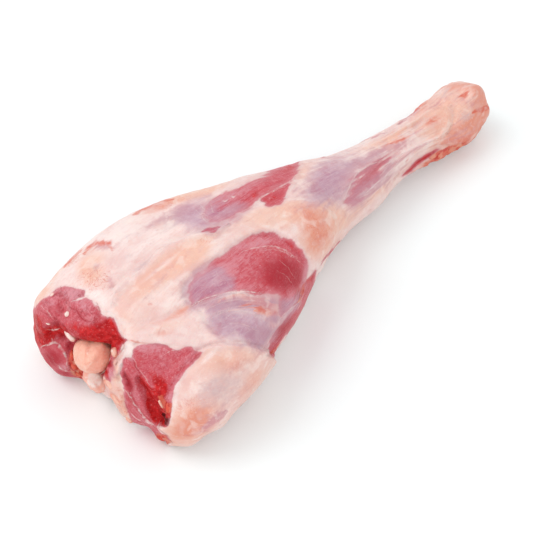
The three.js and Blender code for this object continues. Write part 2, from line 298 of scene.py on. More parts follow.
def cut_rise(along, y, z):
    """Soft maximum of the domed lobes, less the hollow round the bone, near the cut only."""
    total = math.exp(CUT_GAP / LOBE_BLEND)
    for _, y0, z0, wide, high, turn, front, dome in CUT_LOBES:
        off = spread(y - y0, z - z0, wide, high, turn)
        inside = dome * (1 - np.sqrt(np.maximum(1 - off * off, 0)))
        fall = np.where(off < 1, inside, dome + (off - 1) * LOBE_EDGE_FALL)
        total = total + np.exp((front - fall) / LOBE_BLEND)
    from_ball = np.hypot(y - BALL[1], z - BALL[2])
    half_wall = HOLLOW_WALL / 2
    hollow = 1 - ease(from_ball, HOLLOW_RADIUS - half_wall, HOLLOW_RADIUS + half_wall)
    return (LOBE_BLEND * np.log(total) - HOLLOW_DEPTH * hollow) * (1 - ease(along, *CUT_ZONE))


length_at = np.interp(np.arange(RINGS), [0, CLOSE_RINGS, RINGS - 1],
                      [0, CLOSE_LENGTH, fine_length[-1]])[:, None]
even = np.linspace(0, 2 * math.pi, RING_POINTS, endpoint=False)[None, :]
length_at, angle_at = np.broadcast_arrays(
    length_at, even - CROWDING * np.sin(even - math.radians(CROWDED_SIDE)))
along_at = np.interp(length_at, fine_length, fine_along)
share_at = np.interp(length_at, fine_length, fine_share)
smooth = smooth_skin(length_at, angle_at)
outward = smooth_normal(length_at, angle_at)
rise = side_rise(along_at, share_at, angle_at) + cut_rise(along_at, smooth[..., 1], smooth[..., 2])
skin = smooth + outward * rise[..., None]
skin[..., 0] += (LEAN_BACK * ease(-skin[..., 1], *LEAN_ACROSS) * ease(skin[..., 2], *LEAN_UP)
                 * (1 - ease(skin[..., 0], *LEAN_GONE)))
skin[..., 2] = np.maximum(skin[..., 2], 0)


# The leg's own frame in the row: the tip's middle and the widest sides meet the CAD box.
meat_low, meat_high = (np.array(corner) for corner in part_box("leg_meat"))
leg_middle_y = (skin[..., 1].min() + skin[..., 1].max()) / 2
leg_origin = np.array([meat_high[0] - LENGTH / 1000, -leg_middle_y / 1000, 0])


def in_row(points):
    """Millimetres of the leg to metres of the row."""
    return points / 1000 + leg_origin


def grid_normals(points):
    """Cross product of neighbour differences on a grid whose rows are closed rings."""
    along = np.gradient(points, axis=0)
    around = np.roll(points, -1, axis=1) - np.roll(points, 1, axis=1)
    return unit(np.cross(around, along))


CURVE_PIECES = 6                    # straight pieces between two points of an outline or line


def catmull_rom(a, b, c, d):
    """Curves from points b to c, (2b + (c-a)t + (2a-5b+4c-d)t^2 + (3b-a-3c+d)t^3) / 2."""
    t = (np.arange(CURVE_PIECES) / CURVE_PIECES)[None, :, None]
    a, b, c, d = a[:, None, :], b[:, None, :], c[:, None, :], d[:, None, :]
    curve = 0.5 * (2 * b + (c - a) * t + (2 * a - 5 * b + 4 * c - d) * t ** 2
                   + (3 * b - a - 3 * c + d) * t ** 3)
    return curve.reshape(-1, 2)


def outline(points):
    """Closed Catmull-Rom curve through given points."""
    p = np.array(points, float)
    return catmull_rom(*(np.roll(p, k, axis=0) for k in (1, 0, -1, -2)))


def line(points):
    """Open Catmull-Rom curve through given points, its ends carried straight on."""
    p = np.array(points, float)
    p = np.concatenate([2 * p[:1] - p[1:2], p, 2 * p[-1:] - p[-2:-1]])
    curve = catmull_rom(*(p[k:len(p) - 3 + k] for k in range(4)))
    return np.concatenate([curve, p[-2:-1]])


def to_curve(places, curve, reach, closed):
    """Least distance to a curve's pieces, held at reach, its side, and how far along it.

    The side is the sign of the cross product with the nearest piece, or +1 inside a closed
    curve, which a ray to the right leaves an odd number of times.
    """
    flat = places.reshape(-1, 2)
    low, high = curve.min(0) - reach, curve.max(0) + reach
    near = np.nonzero(np.all((flat > low) & (flat < high), axis=1))[0]
    here = flat[near]
    least = np.full(len(here), 1e9)
    sign = np.ones(len(here))
    part = np.zeros(len(here))
    crossings = np.zeros(len(here), int)
    ends = np.roll(curve, -1, axis=0) if closed else curve[1:]
    for i, (start, end) in enumerate(zip(curve, ends)):
        edge = end - start
        t = np.clip((here - start) @ edge / max(edge @ edge, 1e-9), 0, 1)
        gap = np.linalg.norm(here - start - t[:, None] * edge, axis=1)
        nearer = gap < least
        least = np.where(nearer, gap, least)
        part = np.where(nearer, (i + t) / len(ends), part)
        cross = edge[0] * (here[:, 1] - start[1]) - edge[1] * (here[:, 0] - start[0])
        sign = np.where(nearer, np.sign(cross) + (cross == 0), sign)
        if closed and edge[1]:
            between = (start[1] > here[:, 1]) != (end[1] > here[:, 1])
            at = start[0] + (here[:, 1] - start[1]) * edge[0] / edge[1]
            crossings += between & (here[:, 0] < at)
    if closed:
        sign = np.where(crossings % 2 == 1, 1.0, -1.0)
    found = np.tile([reach, -1.0, 0.0], (len(flat), 1))
    found[near] = np.stack([least, sign, part], -1)
    return np.moveaxis(found.reshape(places.shape[:-1] + (3,)), -1, 0)


PATCH_HELD = 1.5                    # a patch's field stays between minus and plus this
STROKE_REACH = 4                    # half widths at which a stroke ends


def patch(places, points, soft):
    """Signed distance into an outline in units of its softness, held either way."""
    gap, side, _ = to_curve(places, outline(points), PATCH_HELD * soft + 1, True)
    return np.clip(gap * side / soft, -PATCH_HELD, PATCH_HELD)


def taper(part):
    """Width of a stroke along it: sqrt(sin), so that it thins to both ends."""
    return np.sqrt(0.06 + 0.94 * np.sin(math.pi * part))


def stroke(places, points, half):
    """Bell-shaped ridge along a line, exp(-(distance / width)^2), thinning to its ends."""
    reach = STROKE_REACH * half
    gap, _, part = to_curve(places, line(points), reach, False)
    return np.exp(-(gap / (half * taper(part))) ** 2) * (gap < reach)


def bell(places, x, y, long, wide, turn):
    """Bell-shaped spot, exp(-spread^2)."""
    return np.exp(-spread(places[..., 0] - x, places[..., 1] - y, long, wide, turn) ** 2)


LATTICE = 32                        # random numbers along each side of the noise's lattice


def lumps(points, size, seed):
    """Smooth value noise, -1 to 1: random numbers on a lattice, blended across each cell."""
    lattice = np.random.default_rng(seed).uniform(-1, 1, (LATTICE, LATTICE, LATTICE))
    p = points / np.array(size)
    cell = np.floor(p).astype(int)
    t = p - cell
    t = t * t * (3 - 2 * t)
    total = 0
    for corner in np.ndindex(2, 2, 2):
        weight = np.abs(1 - np.array(corner) - t).prod(axis=-1)
        at = np.moveaxis((cell + corner) % LATTICE, -1, 0)
        total = total + weight * lattice[tuple(at)]
    return total


def layered(points, layers):
    """Sum of layers of lumps, each times its weight."""
    return sum(weight * lumps(points, size, seed) for weight, size, seed in layers)


# Directions for fibres. They run along the leg and draw together at the shank, and turn
# round it where a membrane crosses: name, x, y, half length, half width and turn in the
# camera's picture, and radians round the leg for each millimetre along it.
FIBRE_TURNS = [
    ("window", 255, 272, 60, 30, -24, 0.004),
    ("strands below the window", 266, 316, 80, 34, -8, 0.0042),
    ("topside", 160, 390, 40, 50, 0, -0.010),
]
FLOW_RADIUS = 30
# Noise here and below is in layers of weight, size in millimetres and seed. A size of three
# numbers is one along the fibres and two across them.
WANDERS = [(2.4, 34, 11), (2.4, 34, 12)]
STREAKS = [(0.5, (46, 5, 5), 13), (0.4, (26, 2.4, 2.4), 14), (0.25, (14, 1.2, 1.2), 15)]
CORD_SIZE, CORD_SEED = (60, 7, 7), 16
# Where along the leg the cut face ends, the shank begins and the hock begins.
CUT_FACE, SHANK, HOCK = (6, 30), (170, 330), (326, 356)
HIDDEN_FROM = -240                  # degrees round the leg from which the far side is counted

smooth_pixels = in_picture(in_row(skin))
flow_angle = angle_at
for _, x, y, half_long, half_wide, turn, radians in FIBRE_TURNS:
    there = bell(smooth_pixels, x, y, half_long, half_wide, turn)
    middle_along = (there * along_at).sum() / there.sum()
    flow_angle = flow_angle - radians * (along_at - middle_along) * there
flow = np.stack([along_at, FLOW_RADIUS * share_at * np.cos(flow_angle),
                 FLOW_RADIUS * share_at * np.sin(flow_angle)], -1)
for axis, wander in enumerate(WANDERS, start=1):
    flow[..., axis] += layered(skin, [wander])
streak = layered(flow, STREAKS)
cords = 1 - 2 * np.abs(lumps(flow, CORD_SIZE, CORD_SEED))
cut_share_at = 1 - ease(along_at, *CUT_FACE)
shank_share = ease(along_at, *SHANK)
end_share = ease(along_at, *HOCK)
far_places = np.stack([along_at, (np.degrees(angle_at) - HIDDEN_FROM) % 360 + HIDDEN_FROM], -1)

# Some marks below stand for light rather than tissue: painted shade in crevices, holes, creases and under
# edges, painted highlight on lit edges, and painted glints.
# Tissues that show through or over the fat. An outline is (name, softness, points), a line,
# strand or crack is (name, half width, amount, points) and a spot is (name, x, y, half length,
# half width, turn, amount). Those under SEEN are pixels of the camera's picture. Those under
# HIDDEN lie on the far side, as millimetres along the leg and degrees round it.
#
# Names of places: the rump is the muscle at the left of the cut and the topside the one at its
# right, with the fat strip between them. The window is the bare muscle of the inner thigh. The
# sheet is the fold of fat above and to the left of it, the band is the one below it, and the
# flap is the fat at the right of the cut. The side strip is the bare muscle that runs down from
# the window's right end. Beyond the window come the knee, the shank, the hock and the heel.
SEEN_OUTLINES = {
    "muscle": [
        ("rump", 3, [
            (28, 324), (32, 311), (38, 303), (44, 299), (50, 295), (56, 290), (63, 287), (72, 287),
            (80, 288), (85, 291), (86, 297), (91, 303), (98, 307), (102, 313), (106, 318),
            (111, 317), (115, 322), (118, 329), (122, 336), (128, 340), (122, 345), (120, 352),
            (114, 360), (114, 370), (110, 382), (104, 378), (98, 372), (90, 372), (84, 378),
            (82, 388), (66, 386), (48, 376), (28, 354)]),
        ("topside", 3, [
            (122, 366), (125, 357), (131, 357), (134, 350), (139, 345), (148, 344), (158, 344),
            (167, 345), (173, 349), (179, 350), (185, 347), (191, 346), (195, 351), (201, 353),
            (193, 364), (186, 371), (180, 379), (175, 387), (173, 393), (172, 404), (171, 417),
            (168, 426), (161, 427), (157, 425), (160, 431), (166, 435), (171, 441), (162, 446),
            (150, 440), (140, 432), (132, 424), (128, 414), (125, 401), (123, 388), (121, 377)]),
        ("window", 5, [
            (190, 305), (189, 290), (196, 277), (209, 268), (217, 258), (228, 251), (234, 245),
            (247, 238), (259, 233), (270, 232), (283, 235), (291, 239), (298, 246), (303, 252),
            (307, 259), (308, 266), (307, 276), (304, 285), (301, 293), (298, 301), (294, 307),
            (288, 312), (282, 318), (279, 309), (280, 300), (275, 296), (262, 295), (250, 294),
            (235, 294), (222, 295), (205, 301)]),
        ("side strip", 2.5, [
            (316, 270), (310, 276), (305, 281), (301, 288), (298, 296), (295, 304), (293, 310),
            (288, 315), (284, 320), (280, 326), (275, 332), (271, 339), (268, 347), (270, 355),
            (275, 356), (279, 346), (285, 337), (294, 328), (304, 314), (312, 296), (315, 284)]),
        ("back muscle", 7, [
            (203, 212), (208, 203), (220, 195), (240, 187), (256, 180), (268, 172), (280, 164),
            (299, 156), (299, 170), (293, 179), (283, 187), (272, 191), (264, 196), (256, 203),
            (243, 211), (232, 217), (220, 222), (209, 222)]),
        ("knee corner", 3, [
            (261, 202), (265, 194), (272, 189), (281, 185), (289, 183), (290, 190), (287, 197),
            (283, 203), (275, 206), (267, 206)]),
        ("shank muscle", 16, [
            (344, 202), (349, 188), (356, 176), (366, 166), (378, 159), (388, 157), (384, 171),
            (375, 184), (364, 195), (353, 205)]),
        ("heel tendon", 2.5, [
            (400, 177), (408, 169), (417, 160), (428, 153), (440, 148), (432, 156), (421, 163),
            (410, 172)]),
    ],
    "film": [
        ("strand band", 7, [
            (206, 308), (222, 301), (244, 298), (262, 299), (280, 300), (293, 303), (288, 314),
            (278, 324), (264, 318), (246, 312), (228, 310), (212, 314)]),
        ("window end", 8, [
            (191, 308), (188, 292), (194, 277), (206, 268), (218, 266), (226, 276), (232, 290),
            (218, 300), (204, 307)]),
        ("lower window", 10, [
            (207, 320), (219, 309), (236, 307), (256, 314), (270, 322), (276, 334), (267, 345),
            (252, 347), (236, 342), (222, 340), (212, 332)]),
        ("back end", 12, [
            (176, 217), (188, 206), (200, 201), (216, 203), (238, 204), (244, 208), (230, 220),
            (213, 230), (196, 230), (184, 224)]),
        ("shank", 12, [
            (306, 190), (314, 172), (328, 163), (344, 160), (362, 156), (374, 157), (362, 167),
            (351, 182), (345, 197), (337, 201), (322, 202), (310, 199)]),
        ("shank upper", 10, [
            (350, 168), (362, 158), (374, 152), (382, 152), (376, 160), (362, 168)]),
        ("shank lower", 9, [
            (346, 204), (357, 192), (370, 184), (382, 172), (390, 162), (388, 176), (373, 191),
            (358, 205)]),
    ],
    # Vivid red of the fresh cut; in the crevices, beside the gristle and below the torn tissue it is also
    # painted shade.
    "deep": [
        ("right of the rump", 6, [
            (90, 334), (97, 329), (104, 322), (110, 316), (115, 323), (119, 331), (126, 340),
            (119, 346), (113, 351), (106, 346), (98, 342), (88, 344), (82, 340)]),
        ("left of the rump", 4, [
            (34, 316), (41, 319), (42, 328), (49, 330), (52, 337), (50, 343), (42, 345),
            (35, 338), (32, 326)]),
        ("topside crevice", 2, [
            (139, 376), (143, 380), (148, 386), (152, 391), (157, 398), (161, 405), (165, 412),
            (168, 419), (169, 427), (163, 428), (156, 425), (151, 419), (148, 411), (146, 402),
            (147, 395), (144, 388), (141, 383)]),
        ("heel", 2.5, [
            (402, 176), (410, 168), (418, 160), (429, 153), (436, 150), (430, 156), (420, 163),
            (410, 172)]),
        ("beside the gristle", 2, [
            (100, 367), (105, 366), (108, 373), (107, 379), (103, 376), (101, 372)]),
        ("below the torn tissue", 3, [
            (74, 362), (80, 366), (83, 372), (85, 379), (76, 380), (74, 372)]),
    ],
    "torn": [
        ("left of the ball", 2.5, [
            (71, 351), (76, 352), (77, 362), (82, 370), (79, 377), (72, 374), (69, 366),
            (69, 357)]),
        ("under the flap edge", 2.5, [
            (158, 397), (163, 396), (166, 402), (172, 403), (171, 412), (170, 418), (166, 414),
            (161, 405)]),
        ("foot of the topside", 3, [
            (154, 436), (160, 433), (166, 436), (171, 442), (163, 446), (155, 441)]),
        ("heel", 5, [
            (412, 174), (424, 165), (440, 154), (454, 146), (466, 142), (462, 151), (446, 161),
            (428, 171), (416, 178)]),
    ],
}
SEEN_LINES = {
    "muscle": [
        # Painted shade: a dark red line along the knee's shaded edge.
        ("painted shade on the knee edge", 1.6, 2.4, [(320, 266), (325, 258), (332, 250), (342, 240)]),
        ("back foot", 2.2, 2.4, [(201, 232), (208, 230), (214, 230), (220, 227)]),
    ],
    "amber": [
        ("strand", 1.8, 1.2, [(240, 306), (256, 302), (272, 304), (284, 309)]),
        ("strand two", 2.6, 1.3, [(254, 311), (266, 309), (276, 312), (284, 317)]),
        ("strand three", 1.5, 1.0, [(218, 302), (236, 297), (254, 298), (270, 299)]),
        ("strand four", 1.2, 0.7, [(228, 312), (244, 308), (258, 308)]),
        ("band ridge", 3.0, 0.5, [(152, 324), (166, 320), (180, 312), (192, 305)]),
    ],
    "torn": [
        ("side lens edge", 1.5, 1.9, [(305, 282), (303, 291), (300, 299), (294, 306)]),
        ("strip foot", 2.4, 2.2, [(271, 354), (275, 350), (280, 343)]),
        ("heel", 2.6, 1.6, [(430, 158), (440, 153), (452, 148), (460, 146)]),
    ],
    # Blush: pink-lilac tissue; along the flap's low side and under the shank it is also painted shade.
    "blush": [
        ("calf edge", 1.6, 0.9, [(322, 157), (338, 150), (354, 144), (388, 131)]),
        ("under the shank", 2.0, 0.6, [(364, 200), (376, 189), (394, 175), (408, 164)]),
        ("hock top", 2.2, 1.0, [(398, 124), (408, 117), (420, 108)]),
        ("heel groove", 2.2, 0.8, [(380, 178), (396, 163), (412, 151), (432, 140)]),
        ("upper shank", 2.4, 0.6, [(366, 158), (380, 150), (396, 146)]),
        ("mid shank", 1.8, 0.7, [(392, 150), (408, 138), (424, 128)]),
        ("flap side", 2.4, 1.1, [(204, 428), (216, 419), (228, 410)]),
    ],
    "orange": [
        ("back silhouette", 3.4, 1.0, [(130, 217), (144, 209), (158, 204), (174, 199)]),
        ("rump silhouette", 2.6, 0.9, [(61, 269), (71, 258), (81, 250)]),
        ("window strand", 2.2, 0.6, [(222, 303), (240, 303), (256, 307), (268, 313)]),
        ("shank streak", 1.8, 0.8, [(386, 146), (398, 141), (412, 136)]),
        ("low strip", 1.8, 0.9, [(272, 358), (282, 346), (292, 332)]),
        ("knee edge", 2.0, 0.8, [(330, 262), (342, 246), (360, 226)]),
        ("notch", 1.0, 0.8, [(127, 341), (134, 341), (144, 343), (154, 345)]),
        ("nub edge", 1.1, 0.8, [(122, 350), (118, 355), (113, 361)]),
        ("arc on the rump", 4.2, 0.8, [(84, 255), (90, 247), (98, 243), (108, 244), (114, 250)]),
        ("hock groove", 2.4, 1.5, [(472, 113), (480, 110), (488, 106)]),
    ],
}
SEEN_STRANDS = [
    ("window pair", 0.8, 0.7, [(191, 306), (204, 299), (222, 294), (245, 292), (260, 293)]),
    ("window pair two", 0.5, 0.45, [(194, 303), (210, 297), (230, 292), (244, 290)]),
    ("window pair three", 0.4, 0.3, [(200, 305), (216, 299), (236, 296), (252, 296)]),
    ("lower strand", 0.5, 0.4, [(211, 318), (227, 311), (244, 311), (258, 315)]),
    ("middle strand", 0.5, 0.35, [(206, 309), (222, 303), (244, 300), (264, 302)]),
    ("middle strand two", 0.4, 0.25, [(214, 313), (232, 307), (252, 306), (270, 310)]),
    ("low strand", 0.4, 0.3, [(218, 327), (230, 323), (246, 325), (256, 330)]),
    ("window arc", 0.7, 0.45, [(244, 251), (258, 247), (272, 246), (286, 250), (297, 258)]),
    ("window arc two", 0.5, 0.3, [(262, 250), (278, 250), (292, 256), (302, 264)]),
    ("window scratch", 0.4, 0.25, [(281, 262), (288, 268), (294, 277)]),
    ("window scratch two", 0.4, 0.2, [(279, 272), (287, 277), (292, 285)]),
    ("rump lower top", 1.1, 0.8, [(43, 346), (49, 344), (54, 342), (60, 345), (64, 350)]),
    ("rump lower side", 1.2, 0.8, [(58, 346), (64, 351), (67, 360), (68, 370)]),
    ("rump lower foot", 0.8, 0.7, [(58, 366), (63, 370), (70, 372)]),
    ("rump nick", 1.0, 0.9, [(74, 301), (80, 299), (87, 296)]),
    ("rump fringe", 2.4, 0.6, [(92, 303), (99, 308), (104, 313), (107, 317)]),
    ("rump fringe two", 2.0, 0.6, [(108, 312), (113, 316), (117, 323)]),
    ("rump seam", 0.5, 0.4, [(42, 307), (47, 311), (52, 318)]),
    ("rump crevice", 0.8, 0.9, [(50, 329.5), (55, 330), (59, 329)]),
    ("topside membrane", 0.9, 0.7, [(131, 394), (134, 403), (139, 410), (144, 418), (150, 425)]),
    ("topside membrane foot", 1.5, 0.7, [(142, 415), (147, 421), (154, 425)]),
    ("topside membrane two", 0.7, 0.6, [(130, 411), (136, 418), (143, 424)]),
    ("topside membrane top", 0.6, 0.5, [(123, 389), (127, 393), (131, 398)]),
    ("topside ridge", 0.6, 0.3, [(133, 357), (138, 367), (144, 377), (150, 386)]),
    ("topside fleck", 0.6, 0.5, [(166, 354), (170, 351), (176, 350)]),
    ("shank strand", 0.8, 0.5, [(343, 201), (349, 187), (356, 175), (366, 167), (384, 159)]),
    ("shank lower strand", 0.8, 0.55, [(366, 193), (376, 184), (388, 174), (400, 160)]),
    ("shank lower strand two", 0.6, 0.4, [(362, 203), (376, 192), (392, 178), (410, 164)]),
    ("hock ridge", 0.9, 0.35, [(449, 108), (452, 114), (452, 122), (448, 132), (440, 138)]),
    ("side strip edge", 0.6, 0.5, [(303, 296), (301, 303), (297, 310)]),
    ("side strip edge two", 0.6, 0.4, [(300, 301), (292, 308), (285, 314), (280, 320)]),
    ("shank cord", 1.0, 0.5, [(384, 166), (400, 155), (418, 145), (436, 137)]),
    ("shank cord two", 0.8, 0.4, [(372, 150), (392, 140), (412, 128)]),
    ("knee ring", 0.8, 0.3, [(326, 208), (334, 214), (338, 224), (336, 238), (330, 246)]),
    ("knee corner", 0.6, 0.6, [(256, 205), (264, 196), (274, 191), (284, 187)]),
    ("knee corner two", 0.6, 0.5, [(270, 192), (280, 187), (290, 181), (297, 174)]),
    ("knee corner three", 0.7, 0.6, [(284, 199), (290, 192), (296, 184)]),
    ("back strand", 0.4, 0.4, [(196, 210), (200, 214), (204, 213), (209, 217)]),
    ("back strand two", 0.4, 0.4, [(201, 206), (205, 211), (203, 218), (207, 223)]),
    ("back strand three", 0.4, 0.4, [(211, 206), (214, 212), (220, 213)]),
    ("back fleck", 0.7, 0.7, [(231, 196), (234, 196.5), (237, 195)]),
    ("back fleck two", 0.6, 0.6, [(222, 201), (226, 201), (229, 199)]),
]
# Cracks are dark red lines of painted shade along folds of the cut face.
SEEN_CRACKS = [
    ("rump fold", 0.9, 0.5, [(61, 288), (62, 294), (65, 300), (68, 305), (72, 309)]),
    ("rump fold two", 0.9, 0.6, [(75, 308), (78, 313), (82, 318), (87, 321), (93, 322)]),
    ("rump fringe fold", 0.7, 0.5, [(97, 304), (99, 309), (101, 313), (103, 315)]),
    ("left fold", 0.7, 0.45, [(41, 311), (47, 314), (53, 320), (58, 324)]),
    ("left fold two", 0.6, 0.3, [(43, 303), (48, 308), (52, 314)]),
    ("rump wave", 0.6, 0.35, [(56, 291), (57, 297), (59, 303), (60, 309)]),
    ("rump wave two", 0.5, 0.3, [(59, 296), (61, 301), (63, 307)]),
    ("rump wave three", 0.5, 0.3, [(66, 291), (68, 298), (70, 303)]),
    ("rump wave four", 0.5, 0.3, [(80, 309), (84, 313), (87, 317)]),
    ("rump wave five", 0.5, 0.3, [(75, 319), (78, 323), (80, 327)]),
    ("rump wave six", 0.5, 0.3, [(87, 307), (90, 312), (93, 315)]),
    ("lobe edge", 1.1, 0.7, [(54, 317), (60, 322), (66, 328)]),
    ("above the ball", 0.9, 0.6, [(77, 341), (83, 340), (90, 342), (98, 340)]),
    ("topside groove", 1.1, 0.45, [(127, 376), (129, 382), (132, 389)]),
    ("topside fold", 0.8, 0.45, [(134, 362), (137, 368), (141, 376)]),
    ("flap foot", 0.7, 0.4, [(156, 426), (162, 431), (168, 436), (172, 442)]),
]
